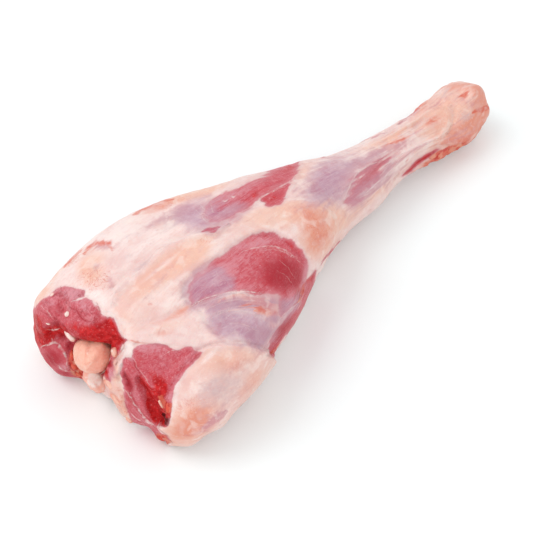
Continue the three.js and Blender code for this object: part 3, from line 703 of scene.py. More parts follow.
SEEN_SPOTS = {
    # Vivid red of the fresh cut; at the rump foot under the rump's edge, in the rump crevice and under the
    # ball it is also painted shade.
    "deep": [
        ("rump foot", 80, 330, 21, 9, 18, 2.0), ("left rim", 38, 332, 6, 11, 0, 2.2),
        ("right core", 108, 326, 4, 5, 0, 0.5), ("rump crevice", 58, 331, 9, 6, 30, 2.2),
        ("back middle", 254, 196, 12, 4, -30, 1.5), ("ball notch", 88, 344, 5, 3, 0, 1.2),
        ("under the ball", 104, 372, 3, 5, 0, 0.6), ("side strip top", 310, 277, 9, 4, -52, 2.2),
        ("side lens", 300, 294, 9, 3.6, -64, 2.5), ("strip foot", 137, 426, 12, 3, 38, 1.5),
        ("topside foot", 152, 434, 9, 3, 34, 1.4), ("topside low", 161, 390, 8, 10, 0, 3.0),
        ("topside left top", 131, 368, 6, 8, 0, 1.1), ("back right end", 289, 168, 9, 4, -40, 1.6),
        ("knee corner", 275, 197, 9, 4, -30, 1.4), ("window rim", 294, 247, 16, 4, 40, 1.6),
        ("topside middle", 153, 376, 14, 7, 36, 1.5)],
    # Darker muscle, and painted shade in the rump crevice, left of the ball, the recess, the topside holes
    # and below the notch.
    "dark": [
        ("window core", 286, 276, 20, 17, 0, 1.3), ("rump crevice", 61, 331, 7, 5, 30, 1.4),
        ("rump lower", 54, 357, 11, 10, 50, 1.2), ("rump lower rim", 66, 374, 10, 2.5, 14, 0.9),
        ("left of the ball", 71, 345, 4, 6, 10, 1.3), ("recess", 110, 363, 6, 3.5, 10, 1.8),
        ("topside left", 129, 384, 4, 10, -16, 1.0), ("topside hole", 168, 422, 4.4, 4, 0, 4.4),
        ("topside hole two", 163.5, 415, 3.2, 2, 60, 3.4), ("side strip", 282, 330, 22, 6, -58, 1.0),
        ("shank", 364, 181, 13, 6, -45, 0.5), ("window", 262, 272, 30, 16, -24, 0.3),
        ("below the notch", 119, 349, 3, 1.6, 20, 1.2), ("rump crevice top", 60, 326, 6, 3, 30, 1.0)],
    "wrinkle": [
        ("rump", 74, 308, 30, 20, 20, 1.2), ("topside left", 130, 392, 6, 24, -16, 0.6),
        ("rump lower", 54, 356, 14, 12, 40, 0.3), ("topside", 162, 366, 22, 14, 0, 0.3)],
    "haze": [
        # Dusty bloom on the muscle; at the window's top it is also a painted sheen.
        ("window top", 256, 243, 26, 6, -10, 0.8), ("window left", 220, 272, 24, 9, -38, 0.8),
        ("window foot", 250, 289, 34, 4, 0, 0.5), ("window right", 305, 276, 3.4, 14, 10, 1.3),
        ("window middle", 240, 268, 34, 18, -30, 0.35),
        ("rump top", 72, 293, 16, 6, 4, 1.3), ("rump middle", 84, 306, 14, 7, 30, 0.7),
        ("rump left", 50, 303, 10, 6, -30, 0.7), ("topside top", 148, 347, 18, 6, 4, 0.9),
        ("topside corner", 130, 358, 4, 4, 0, 0.9), ("topside right", 190, 357, 12, 5, -50, 0.6),
        ("topside edge", 176, 380, 4, 14, 30, 0.5), ("topside left", 136, 393, 4, 14, -14, 0.6),
        ("topside foot", 144, 421, 8, 3, 40, 0.5), ("back middle", 230, 196, 28, 6, -20, 0.8),
        ("back right", 280, 176, 8, 3, -30, 0.3), ("shank", 364, 180, 14, 8, -45, 0.4),
        ("rump lower foot", 64, 367, 7, 3, 20, 1.0), ("recess foot", 111, 374, 3, 8, 0, 1.2),
        ("tan patch", 169, 397, 4, 4.5, 0, 0.7), ("topside middle", 164, 360, 16, 8, 10, 0.3),
        ("right of the strands", 292, 302, 12, 7, -60, 1.1)],
    "film": [
        ("window", 216, 287, 28, 13, -20, 0.8), ("window right", 299, 298, 6, 18, 34, 1.4),
        ("shank", 360, 184, 20, 10, -40, 0.6)],
    # Blush: pink-lilac tissue; on the flap, its low side and under the heel it is also painted shade.
    "blush": [
        ("strand band", 236, 302, 34, 6, -4, 1.3), ("strand band right", 274, 303, 14, 9, 20, 1.6),
        ("below the strands right", 278, 320, 8, 10, 20, 1.0),
        ("lower window left", 222, 322, 18, 11, 0, 0.4), ("lower window", 256, 334, 14, 9, 0, 1.1),
        ("veil beyond the window", 208, 264, 24, 6, -42, 0.45),
        ("veil left of the window", 186, 294, 7, 12, 0, 0.4), ("shank", 350, 176, 40, 14, -32, 0.6),
        ("rump arc", 104, 246, 14, 5, 4, 0.9), ("by the rump vein", 110, 282, 4, 6, 0, 0.8),
        ("rump hollow", 98, 266, 5, 4, 0, 0.9), ("beside the strip", 274, 330, 12, 4, -56, 0.8),
        ("back end", 184, 214, 14, 9, -24, 0.5),
        ("flap", 222, 392, 46, 26, -48, 0.12), ("flap low side", 214, 420, 24, 6, -44, 0.5),
        ("lower shank", 392, 152, 34, 10, -36, 0.5), ("hock top", 468, 102, 16, 8, 10, 0.5),
        ("hock foot", 456, 134, 18, 9, -30, 0.5), ("hock side", 434, 106, 14, 6, -40, 0.4),
        ("flap foot", 196, 420, 24, 12, -40, 0.12), ("flap side", 226, 400, 26, 8, -50, 0.12),
        ("knee top", 300, 190, 12, 7, -30, 0.35), ("back haze", 172, 214, 22, 6, -26, 0.6),
        ("beside the gristle", 112, 374, 4, 8, 0, 1.0), ("strip corner", 264, 350, 8, 6, 0, 0.5),
        ("back top", 150, 226, 20, 5, -28, 0.25), ("sheet", 168, 288, 26, 7, -30, 0.25),
        ("right of the topside", 192, 348, 10, 3, 10, 0.8), ("under the heel", 392, 182, 20, 4, -36, 0.4)],
    "peach": [
        ("sheet top", 188, 254, 28, 12, -32, 1.3), ("sheet", 150, 282, 32, 12, -38, 0.9),
        ("band", 166, 326, 26, 5, -8, 0.4), ("band left", 128, 326, 10, 8, 0, 0.3),
        ("knee", 285, 214, 42, 12, -8, 0.9), ("knee right", 322, 232, 26, 17, 100, 0.9),
        ("flap top", 226, 358, 28, 9, -12, 0.4), ("flap foot", 190, 424, 24, 14, -42, 0.9),
        ("rump arc", 96, 256, 20, 8, -34, 0.8), ("heel", 440, 156, 24, 8, -28, 0.8),
        ("left rim", 42, 294, 16, 5, -55, 1.1), ("rump vein", 92, 272, 14, 14, 0, 1.2),
        ("below the shank", 350, 213, 44, 8, -36, 0.9), ("hock", 452, 115, 42, 28, -30, 1.3),
        ("fat strip", 119, 390, 38, 8, 68, 1.8), ("gristle", 96, 380, 14, 11, 0, 1.0),
        ("back top", 192, 194, 34, 5, -16, 1.6), ("sheet left", 120, 314, 10, 8, 50, 0.3),
        ("knee top", 298, 172, 14, 10, -20, 0.9), ("rump silhouette", 60, 268, 24, 4, -48, 0.8),
        ("strands", 262, 304, 20, 4, 4, 1.4), ("flap right", 256, 376, 14, 9, -50, 0.3),
        ("lower shank", 400, 134, 26, 5, -34, 0.8), ("upper shank", 372, 146, 26, 5, -24, 0.7),
        ("shank foot", 384, 186, 30, 4, -38, 0.7), ("strip foot", 284, 346, 10, 5, -56, 1.2)],
    # Amber: warm fat; on the flap's low and right side it is also painted shade.
    "amber": [
        ("knee", 317, 227, 24, 15, 70, 0.9), ("knee top", 306, 213, 14, 7, 10, 0.4),
        ("hock left", 418, 108, 18, 5, -40, 1.1), ("hock middle", 434, 121, 14, 8, -30, 0.7),
        ("hock foot", 460, 138, 26, 13, -34, 1.7), ("hock right", 483, 100, 16, 10, 80, 1.3),
        ("hock top", 460, 86, 26, 6, 0, 1.0), ("hock low right", 478, 122, 10, 12, 10, 1.2),
        ("flap foot", 188, 430, 20, 10, -16, 0.9), ("fat strip", 116, 392, 28, 7, 62, 0.9),
        ("heel", 442, 155, 22, 6, -28, 1.3), ("upper shank", 396, 140, 20, 4, -32, 0.5),
        ("flap low", 196, 418, 24, 14, -44, 1.1), ("flap right", 250, 386, 22, 9, -54, 0.7),
        ("flap top", 232, 362, 30, 10, -10, 0.55), ("knee side", 314, 246, 16, 10, 90, 0.5),
        ("sheet", 176, 262, 30, 7, -34, 0.3), ("below the shank", 352, 212, 34, 6, -34, 0.4),
        ("strands", 269, 310, 12, 7, 8, 1.3), ("strands left", 240, 299, 18, 3, -6, 0.6),
        ("flap spot", 236, 366, 12, 5, -16, 0.3), ("rump vein", 92, 276, 14, 9, 20, 0.5),
        ("band", 182, 312, 12, 5, -28, 0.5), ("rump silhouette", 68, 260, 12, 4, -46, 0.6),
        ("band mark", 164, 333, 12, 4, -6, 0.6), ("arc on the rump", 92, 249, 12, 5, -36, 0.6),
        ("back silhouette", 160, 206, 26, 5, -20, 1.0), ("left rim", 34, 300, 10, 4, -60, 0.5)],
    "orange": [
        ("knee", 324, 236, 8, 5, 60, 0.5), ("hock spot", 464, 96, 4, 2.4, -20, 1.9),
        ("hock right spot", 486, 108, 5, 2.4, -28, 1.2), ("hock middle", 433, 121, 8, 4, -24, 0.9),
        ("left of the ball", 73, 358, 3.5, 8, 0, 1.4), ("side strip foot", 274, 352, 5, 3, -56, 1.5),
        ("strands", 266, 311, 13, 5, 12, 0.8), ("heel", 448, 151, 30, 5, -27, 1.4),
        ("flap spot", 237, 366, 7, 4, -16, 0.3), ("flap foot", 190, 434, 12, 5, -10, 0.3),
        ("rump vein", 90, 264, 12, 8, 30, 0.4),
        ("band spot", 150, 304, 4, 2.4, 0, 0.6), ("hock left", 415, 109, 10, 2.4, -42, 1.0)],
    "vein": [
        ("rump", 95, 277, 15, 12, 10, 1.1), ("rump silhouette", 72, 258, 16, 5, -46, 0.9),
        ("flap", 188, 408, 22, 14, -40, 0.5), ("sheet top", 204, 240, 14, 5, -30, 0.7),
        ("knee", 318, 226, 26, 18, 70, 0.5), ("hock", 452, 116, 44, 28, -30, 0.35),
        ("fat strip", 118, 396, 34, 7, 66, 1.0), ("back top", 176, 200, 40, 6, -18, 0.6)],
    # White fat; along the edges of the sheet, the flap and the strip it is also painted highlight on their
    # lit rims.
    "white": [
        ("back", 118, 236, 44, 15, -30, 0.9), ("left of the sheet", 98, 298, 12, 5, 40, 1.1),
        ("corner", 127, 349, 7, 7, 0, 1.3), ("rump", 66, 264, 22, 5, -45, 0.4),
        ("back middle", 150, 244, 30, 8, -34, 0.6), ("sheet left edge", 111, 318, 14, 3, 55, 0.6),
        ("sheet top edge", 218, 239, 20, 3, -24, 0.7), ("sheet edge", 160, 268, 30, 2.4, -38, 0.7),
        ("sheet foot", 150, 296, 20, 5, -20, 0.5), ("flap edge", 176, 396, 3, 24, 12, 0.9),
        ("flap top edge", 208, 357, 14, 3, -44, 0.9), ("strip edge", 122, 380, 2, 12, -10, 1.0),
        ("knee top line", 312, 199, 30, 2, -2, 0.7), ("band left", 116, 330, 3, 10, -20, 0.6)],
    # Grey on fat: a greyish veil in places, and painted shade in the rump and hock hollows, the valleys
    # beside the sheet, the line above the flap, at the gristle's foot and over the flap.
    "grey_and_shade": [
        ("rump hollow", 97, 266, 5, 3.5, 0, 1.1), ("beside the sheet", 126, 257, 8, 3, -20, 0.6),
        ("beside the sheet two", 141, 265, 12, 3, -34, 0.8),
        ("left of the window", 186, 292, 8, 12, 0, 1.0), ("back haze", 170, 220, 18, 10, -30, 0.8),
        ("flap middle", 208, 392, 20, 10, -45, 0.6), ("flap right", 238, 384, 24, 12, -50, 0.3),
        ("above the flap", 240, 345, 34, 2.4, 4, 0.6), ("above the window", 212, 262, 26, 5, -40, 0.7),
        ("flap", 224, 386, 42, 26, -48, 0.4), ("sheet", 158, 290, 26, 9, -34, 0.5),
        ("back top", 140, 232, 16, 5, -30, 0.4), ("shank silhouette", 336, 158, 26, 4, -24, 0.5),
        ("above the shank", 318, 172, 14, 8, -20, 0.5), ("hock side", 446, 92, 5, 6, 20, 0.7),
        ("hock hollow", 465, 116, 8, 6, -20, 0.9), ("hock middle", 420, 122, 14, 3, -34, 0.7),
        ("right of the topside", 200, 346, 10, 3, -10, 0.6), ("lower shank", 404, 136, 18, 4, -34, 0.5),
        ("gristle foot", 104, 386, 4, 3, 0, 0.9)],
}
HIDDEN_OUTLINES = {
    "muscle": [
        ("outer thigh", 9, [(72, 8), (92, -8), (124, -14), (150, -6), (160, 10), (140, 22),
                            (108, 28), (82, 22)]),
        ("calf", 8, [(196, -6), (222, -20), (256, -18), (288, -2), (300, 16), (272, 26),
                     (236, 24), (206, 12)]),
        ("heel", 5, [(302, -60), (326, -76), (352, -70), (344, -54), (320, -46)]),
    ],
    "film": [
        ("outer thigh", 9, [(64, 14), (78, -2), (96, -8), (100, 12), (90, 26), (74, 26)]),
        ("flank", 9, [(34, -12), (52, -26), (80, -30), (86, -22), (64, -12), (44, -4)]),
        ("calf", 9, [(262, -20), (292, -12), (318, 8), (302, 22), (280, 4)]),
        ("under", 10, [(120, -64), (160, -78), (196, -72), (190, -54), (150, -48)]),
    ],
    "deep": [
        ("outer thigh edge", 4, [(140, 16), (152, 4), (158, 8), (150, 20)]),
        ("rump edge", 4, [(2, 26), (12, 10), (14, 24), (8, 34)]),
    ],
    "torn": [
        ("rump foot", 4, [(4, -30), (12, -50), (16, -40), (10, -26)]),
    ],
}
# Seams and cords of the far side, which have both a tissue and a relief.
THIGH_SEAM = [(30, 34), (60, 38), (100, 38), (150, 30), (190, 22)]
UNDER_SEAM = [(20, -44), (70, -48), (130, -44), (190, -36), (240, -34)]
SHANK_SEAM = [(220, 34), (260, 38), (310, 34), (350, 30)]
CALF_CORD = [(206, 14), (240, 10), (280, 8), (316, 12)]
SHANK_CORD = [(250, -30), (290, -26), (330, -22), (366, -10)]
HIDDEN_LINES = {
    "blush": [
        ("thigh seam", 3, 0.8, THIGH_SEAM),
        ("under seam", 3, 0.8, UNDER_SEAM),
        ("shank seam", 3, 0.8, SHANK_SEAM),
        ("heel seam", 3, 0.8, [(270, -50), (310, -44), (350, -40)]),
    ],
}
HIDDEN_STRANDS = [
    ("thigh strand", 1.0, 0.6, [(80, 26), (104, 18), (130, 12), (156, 12)]),
    ("thigh strand two", 0.8, 0.5, [(90, 4), (116, -2), (146, -4)]),
    ("calf strand", 1.0, 0.6, CALF_CORD),
    ("shank cord", 1.2, 0.5, SHANK_CORD),
]
# Cracks of the far side: dark lines of painted shade along its folds.
HIDDEN_CRACKS = [
    ("rump fold", 0.8, 0.6, [(4, 20), (10, 12), (14, 2)]),
    ("thigh fold", 0.8, 0.5, [(96, 10), (116, 6), (138, 6)]),
]
HIDDEN_SPOTS = {
    "dark": [("outer thigh", 132, 2, 22, 10, 0, 0.8), ("calf", 250, 0, 24, 8, 0, 0.8)],
    "deep": [("heel", 330, -62, 18, 6, 0, 2.2)],
    "haze": [("outer thigh", 100, 16, 24, 8, 0, 0.6), ("calf", 230, 12, 24, 8, 0, 0.5)],
    "blush": [
        ("thigh", 100, 30, 40, 8, 0, 0.5), ("shank top", 280, 24, 50, 12, 0, 0.6),
        ("shank side", 250, -30, 60, 10, 0, 0.6), ("under", 60, -80, 50, 14, 0, 0.4),
        ("hock", 360, 20, 24, 24, 0, 0.5)],
    "peach": [
        ("rump", 30, 20, 30, 18, 0, 0.8), ("stifle", 176, -30, 34, 20, 0, 1.0),
        ("hock", 362, 0, 34, 60, 0, 1.3), ("under", 60, -60, 60, 24, 0, 0.9),
        ("under the shank", 240, -80, 60, 24, 0, 0.9), ("calf edge", 200, 34, 30, 8, 0, 0.8),
        ("thigh edge", 120, 44, 60, 10, 0, 0.6)],
    "amber": [
        ("stifle", 180, -24, 22, 14, 30, 0.8), ("hock end", 376, 0, 12, 40, 0, 0.8),
        ("rump", 40, 28, 24, 8, 0, 0.5)],
    "orange": [
        ("hock top", 348, 20, 14, 6, 10, 1.1), ("heel", 370, -40, 14, 12, 0, 1.0),
        ("rump edge", 12, -30, 8, 14, 0, 0.8), ("under", 90, -60, 20, 6, 0, 0.5)],
    "vein": [
        ("rump", 50, 10, 40, 30, 0, 0.8), ("stifle", 180, -20, 30, 20, 0, 0.8),
        ("hock", 360, 0, 30, 60, 0, 0.8), ("under", 100, -70, 60, 20, 0, 0.6)],
    "white": [
        ("flank", 60, 0, 40, 14, 0, 0.9), ("low flank", 110, -40, 40, 14, 0, 0.7),
        ("under", 200, -56, 40, 10, 0, 0.5)],
    "grey_and_shade": [
        ("thigh", 160, 14, 16, 6, 0, 0.8), ("under", 90, -60, 30, 10, 0, 0.6),
        ("shank", 320, -20, 20, 12, 0, 0.5)],
}
TISSUES = ["muscle", "film", "blush", "deep", "dark", "wrinkle", "haze", "torn", "peach", "amber",
           "orange", "vein", "white", "grey_and_shade"]
# Where the edges of a tissue run smooth: name, x, y, half length, half width, turn, share.
SMOOTH_EDGES = [
    ("window right", 306, 268, 40, 22, 62, 0.9), ("side strip", 296, 318, 50, 16, -60, 0.7),
    ("topside", 160, 384, 44, 44, 0, 0.6), ("back right", 284, 176, 18, 12, -30, 0.4),
    ("heel", 420, 160, 26, 10, -34, 0.8),
]

# Edges of tissues stray a little every way, far along the fibres, and less on the cut face.
STRAY_ACROSS = [(1, 9, 21), (0.6, 3.6, 23)]
STRAY_DOWN = [(1, 9, 22), (0.6, 3.6, 24)]
STRAY_SHARE = 0.45
FRAY = [(1.1, (30, 3.2, 3.2), 25), (0.9, (18, 1.5, 1.5), 26)]
SEEN_FIBRES, HIDDEN_FIBRES = (0.82, -0.5), (1, 0)   # the way they run in each kind of place
SEEN_FRAY, CUT_FRAY_LESS, HIDDEN_FRAY = 2.4, 1.4, 4.0
# How far off a strand or crack is looked for, the half widths that its side is held at, and the
# distances between which its amount fades out.
STRAND_REACH, STRAND_SIDES, STRAND_FADE = 6, 4, (1.6, 3.2)


def field(places, tissue, outlines, lines, spots):
    """Greatest of a tissue's outlines, plus its bell-shaped lines and spots."""
    total = np.full(places.shape[:-1], -PATCH_HELD if tissue in outlines else 0.0)
    for _, soft, points in outlines.get(tissue, []):
        total = np.maximum(total, patch(places, points, soft))
    for _, half, amount, points in lines.get(tissue, []):
        total = total + amount * stroke(places, points, half)
    for _, x, y, long, wide, turn, amount in spots.get(tissue, []):
        total = total + amount * bell(places, x, y, long, wide, turn)
    return total


def strand_field(places, lines):
    """The nearest line's signed distance in its own half widths, and its amount round it."""
    side = np.full(places.shape[:-1], float(STRAND_SIDES))
    nearest = np.full(places.shape[:-1], np.inf)
    strength = np.zeros(places.shape[:-1])
    for _, half, amount, points in lines:
        gap, way, part = to_curve(places, line(points), STRAND_REACH, False)
        across = np.clip(gap * way / (half * taper(part)), -STRAND_SIDES, STRAND_SIDES)
        side = np.where(gap < nearest, across, side)
        strength = np.where(gap < nearest, amount, strength)
        nearest = np.minimum(gap, nearest)
    return side, strength * (1 - ease(nearest, *STRAND_FADE))


def frayed(places, fibres, amount):
    """Places moved by noise: far along the fibres, a little every way, so that edges fray."""
    stray = np.stack([layered(skin, STRAY_ACROSS), layered(skin, STRAY_DOWN)], -1)
    fray = layered(flow, FRAY)[..., None] * np.array(fibres)
    return places + amount * (STRAY_SHARE * stray + fray)


def edge_calm(pixels):
    """How smooth tissue edges run: the greatest of the bell-shaped spots, held under 1."""
    calm = np.zeros(pixels.shape[:-1])
    for _, x, y, long, wide, turn, amount in SMOOTH_EDGES:
        calm = np.maximum(calm, amount * bell(pixels, x, y, long, wide, turn))
    return calm


def tissue_fields(pixels, names):
    """Fields of the camera's picture where the skin faces it, and of the far side elsewhere."""
    rough = (SEEN_FRAY - CUT_FRAY_LESS * cut_share_at) * (1 - edge_calm(pixels))
    near_places = frayed(pixels, SEEN_FIBRES, rough[..., None])
    far = frayed(far_places, HIDDEN_FIBRES, HIDDEN_FRAY)
    found = {}
    for name in names:
        near_field = field(near_places, name, SEEN_OUTLINES, SEEN_LINES, SEEN_SPOTS)
        if name == "peach":
            for _, _, width, peach, points in PLATES:
                near_field = near_field + peach * ease(patch(pixels, points, width), -1, 1)
        far_field = field(far, name, HIDDEN_OUTLINES, HIDDEN_LINES, HIDDEN_SPOTS)
        found[name] = near_field + (far_field - near_field) * far_side
    return found


# Relief in the camera's picture: name, height in millimetres, width of the step, how peach the
# fat is on it, outline.
PLATES = [
    ("fat flap", 3.8, 1.5, 0.5, [
        (202, 353), (215, 347), (240, 346), (260, 350), (277, 360), (292, 380), (264, 414),
        (232, 442), (200, 458), (178, 456), (170, 442), (161, 431), (158, 426), (166, 427),
        (171, 420), (171, 408), (173, 397), (178, 384), (191, 366)]),
    ("peach sheet", 1.8, 3.0, 0.25, [
        (111, 313), (118, 292), (133, 279), (147, 267), (158, 254), (168, 247), (182, 241),
        (196, 235), (209, 233), (218, 231), (229, 224), (241, 216), (262, 207), (290, 200),
        (330, 197), (350, 230), (322, 262), (308, 256), (298, 242), (283, 233), (268, 231),
        (252, 234), (235, 242), (222, 252), (206, 262), (192, 274), (184, 290), (188, 304),
        (179, 311), (167, 317), (150, 323), (134, 321), (120, 318)]),
    ("lower band", 1.5, 2.2, 0.15, [
        (127, 341), (119, 328), (116, 315), (134, 321), (150, 323), (167, 317), (180, 311),
        (191, 306), (202, 312), (209, 324), (222, 338), (240, 345), (215, 346), (201, 352),
        (185, 348), (168, 346), (150, 344), (138, 342)]),
    ("white corner", 2.0, 1.8, 0.2, [
        (121, 345), (128, 340), (138, 342), (135, 350), (131, 357), (125, 358), (121, 366),
        (116, 368), (114, 361), (121, 352)]),
    ("side strip", -1.4, 2.0, 0, [
        (316, 271), (309, 278), (303, 284), (299, 292), (296, 301), (292, 311), (285, 320),
        (279, 328), (273, 337), (269, 346), (271, 358), (300, 345), (318, 312), (330, 282)]),
    ("topside facet", 2.4, 1.5, 0, [
        (132, 357), (137, 366), (142, 376), (148, 384), (153, 391), (158, 398), (162, 405),
        (166, 413), (169, 418), (172, 408), (174, 396), (179, 384), (190, 368), (202, 354),
        (188, 348), (172, 348), (150, 345), (138, 346)]),
    ("topside crevice", -5.0, 2.6, 0, [
        (140, 378), (146, 384), (150, 391), (154, 398), (159, 405), (163, 412), (168, 420),
        (167, 426), (159, 424), (152, 416), (149, 406), (146, 396), (142, 388)]),
    ("rump crevice", -5.0, 3.2, 0, [
        (46, 327), (51, 323), (58, 323), (65, 329), (67, 337), (61, 340), (53, 340), (47, 336)]),
    ("left of the ball", -2.0, 2.0, 0, [
        (68, 342), (73, 340), (76, 350), (74, 362), (82, 370), (80, 378), (72, 372), (68, 360)]),
    ("rump flank", 1.4, 3.0, 0, [
        (60, 318), (72, 318), (86, 322), (98, 322), (97, 332), (90, 339), (80, 338), (68, 331)]),
    ("torn red", -2.0, 2.6, 0, [
        (93, 332), (103, 324), (110, 318), (117, 328), (124, 339), (117, 346), (108, 344),
        (98, 340)]),
]
# Creases and cords: name, height in millimetres, half width in pixels, line.
CREASES = [
    ("between the lobes", -2.4, 2.2, [(128, 341), (121, 346), (120, 352), (115, 360), (114, 368)]),
    ("beside the strip", -1.6, 1.8, [(122, 366), (121, 378), (124, 392), (128, 408), (133, 420)]),
    ("topside fold", -0.9, 1.5, [(125, 372), (131, 386), (137, 402), (146, 418), (156, 427)]),
    ("topside membrane", 0.9, 1.6, [(132, 396), (138, 408), (144, 418), (152, 425)]),
    ("rump lower edge", 1.0, 1.8, [(43, 346), (53, 343), (62, 348), (67, 358), (68, 371)]),
    ("sheet over band", -0.4, 2.6, [
        (117, 314), (127, 319), (138, 322), (150, 323), (167, 317), (180, 311), (188, 304)]),
    ("rump fold", -1.0, 1.8, [(47, 298), (55, 305), (60, 314), (60, 322)]),
    ("rump fold two", -0.7, 1.4, [(66, 290), (70, 300), (75, 310), (86, 318)]),
    ("rump fold three", -0.6, 1.4, [(82, 300), (86, 309), (93, 316), (96, 324)]),
    ("rump fold four", -0.6, 1.4, [(36, 312), (44, 314), (52, 319)]),
    ("behind the flap", -0.8, 1.6, [(201, 352), (190, 366), (177, 385), (172, 398), (170, 418)]),
    ("above the flap", -0.9, 1.3, [(202, 351), (215, 345), (240, 343), (262, 347), (278, 356)]),
    ("flap rim", 1.0, 2.2, [(204, 356), (216, 350), (240, 349), (262, 354), (278, 363)]),
    ("flap side rim", 0.9, 2.4, [(200, 361), (186, 377), (178, 392), (175, 408), (174, 422)]),
    ("hock ridge groove", -1.3, 1.6, [(453, 106), (456, 114), (455, 124), (449, 135)]),
    ("topside groove", -1.2, 1.8, [(126, 374), (129, 382), (133, 391)]),
    ("rump wave", -0.5, 1.6, [(61, 289), (63, 296), (67, 304), (73, 309)]),
    ("rump wave two", -0.6, 1.6, [(75, 309), (79, 314), (84, 319), (92, 322)]),
    ("sheet ridge", 2.2, 3.4, [
        (114, 306), (120, 291), (134, 279), (148, 267), (159, 255), (170, 248), (184, 242),
        (198, 237), (210, 235), (220, 232), (231, 225)]),
    ("above the sheet", -1.6, 3.6, [
        (112, 286), (127, 271), (141, 259), (152, 247), (163, 240), (178, 234), (194, 229),
        (206, 228)]),
    ("band ridge", 0.9, 3.0, [(150, 336), (166, 326), (182, 318), (194, 311)]),
    ("film cord", 0.6, 1.3, [(196, 303), (222, 294), (246, 292), (270, 294)]),
    ("film cord two", 0.5, 1.3, [(211, 316), (227, 311), (244, 311), (264, 318)]),
    ("film cord three", 0.4, 1.3, [(206, 309), (222, 303), (244, 301), (272, 309)]),
    ("film hollow", -0.5, 3.0, [(214, 324), (236, 318), (260, 328)]),
    ("rump arc", -0.8, 1.8, [(83, 254), (90, 246), (100, 242), (110, 245)]),
    ("knee ring", 0.7, 1.8, [(302, 208), (316, 204), (328, 209), (336, 220), (335, 238),
                             (329, 250)]),
    ("window rim", -0.8, 2.0, [(262, 235), (278, 236), (292, 243), (303, 255), (307, 268)]),
    ("shank strand", 0.7, 1.6, [(341, 199), (347, 186), (355, 174), (366, 166), (382, 159)]),
    ("shank lower strand", 0.8, 1.6, [(365, 193), (376, 184), (388, 174), (400, 161)]),
    ("below the strand", -0.8, 1.8, [(366, 199), (376, 190), (390, 179), (402, 168)]),
    ("calf edge", -0.6, 1.6, [(326, 156), (338, 151), (352, 146), (386, 134)]),
    ("heel groove", -1.8, 2.2, [(396, 178), (408, 168), (420, 157), (436, 148), (450, 145)]),
    ("heel cord", 1.2, 2.4, [(388, 176), (402, 161), (416, 150), (432, 142), (446, 136)]),
    ("hock top groove", -1.3, 2.0, [(400, 124), (409, 117), (419, 110), (428, 103)]),
    ("hock top cord", 0.8, 2.2, [(408, 126), (420, 117), (432, 108)]),
    ("hock ridge", 1.1, 2.0, [(446, 107), (450, 115), (450, 124), (445, 134), (436, 140)]),
]
# The same on the far side, in millimetres along the leg and degrees round it.
HIDDEN_CREASES = [
    ("thigh seam", -1.4, 4, THIGH_SEAM),
    ("under seam", -1.2, 4, UNDER_SEAM),
    ("shank seam", -1.2, 3, SHANK_SEAM),
    ("flank fold", -1.1, 4, [(36, -18), (70, -28), (110, -30), (150, -26)]),
    ("thigh swelling", 1.5, 11, [(60, 4), (100, -2), (140, -2)]),
    ("calf cord", 1.1, 3.5, CALF_CORD),
    ("shank cord", 1.2, 3.5, SHANK_CORD),
]
# Knobs and dimples: name, x, y, half length, half width, turn in degrees, height in millimetres.
KNOBS = [
    ("rump hollow", 98, 266, 4.5, 3.5, 0, -1.3), ("rump swelling", 94, 280, 12, 8, 20, 0.9),
    ("rump swelling two", 110, 262, 8, 6, 0, 0.6), ("topside hole", 167, 421, 3, 2.6, 0, -3.5),
    ("recess", 110, 364, 5, 3.5, 10, -2.4), ("strip lump", 117, 374, 5, 3.5, 70, 1.0),
    ("strip lump two", 113, 390, 5, 3.5, 60, 1.1), ("strip lump three", 121, 404, 5, 3.5, 60, 0.9),
    ("strip lump four", 128, 417, 4, 3, 60, 0.9), ("hock spot", 463, 97, 4, 2.4, -20, -1.4),
    ("hock right groove", 481, 110, 9, 2.4, -28, -1.8), ("hock crown", 450, 93, 8, 6, -20, 1.3),
    ("hock top knuckle", 474, 93, 8, 6, 20, 1.5), ("hock side knuckle", 482, 122, 6, 7, 0, 1.2),
    ("hock lower knuckle", 466, 128, 9, 6, -30, 1.3), ("hock hollow", 466, 112, 7, 4, -20, -1.2),
    ("hock middle", 432, 122, 8, 5, -30, 0.9), ("heel knuckle", 442, 151, 9, 4, -24, 1.2),
    ("heel knuckle two", 458, 144, 6, 4, -24, 0.9), ("waist dip", 428, 136, 8, 4, -30, -1.0),
    ("flap dimple", 190, 408, 5, 3, 40, -0.5), ("flap swelling", 240, 362, 14, 6, -10, 0.6),
]
# Whole parts drawn out or in: name, x, y and reach in the picture, then millimetres along the
# leg, across it and up.
PULLS = [
    ("hock corner", 474, 92, 14, 0, -3.0, 5.5),
    ("hock right side", 488, 126, 12, 0, 3.6, 0.8),
    ("gristle foot", 98, 398, 10, 3.6, 2.6, 0),
    ("strip foot", 112, 410, 9, 2.6, 1.0, 0),
    ("flap foot", 178, 448, 12, 2.0, 1.9, 0),
    ("back corner", 284, 166, 16, 0.4, 0.6, 0.4),
    ("back", 254, 184, 34, 0, 1.8, 0.9),
    ("right of the ball", 108, 353, 15, 11.5, 0, 0),
    ("topside foot", 144, 438, 14, 6.5, 0, 0),
    ("rump foot", 78, 388, 14, 3.2, 0, 0),
    ("right side", 294, 328, 24, 0, -3.6, 0),
    ("right side high", 306, 298, 25, 0, -2.6, 0),
    ("back right", 298, 164, 20, 0, 1.6, 0.8),
    ("flap side", 222, 426, 15, 0, -3, 0),
    ("under the shank", 372, 200, 30, 0, -4.4, 0),
    ("heel", 438, 168, 16, 0, -3.2, 0),
]


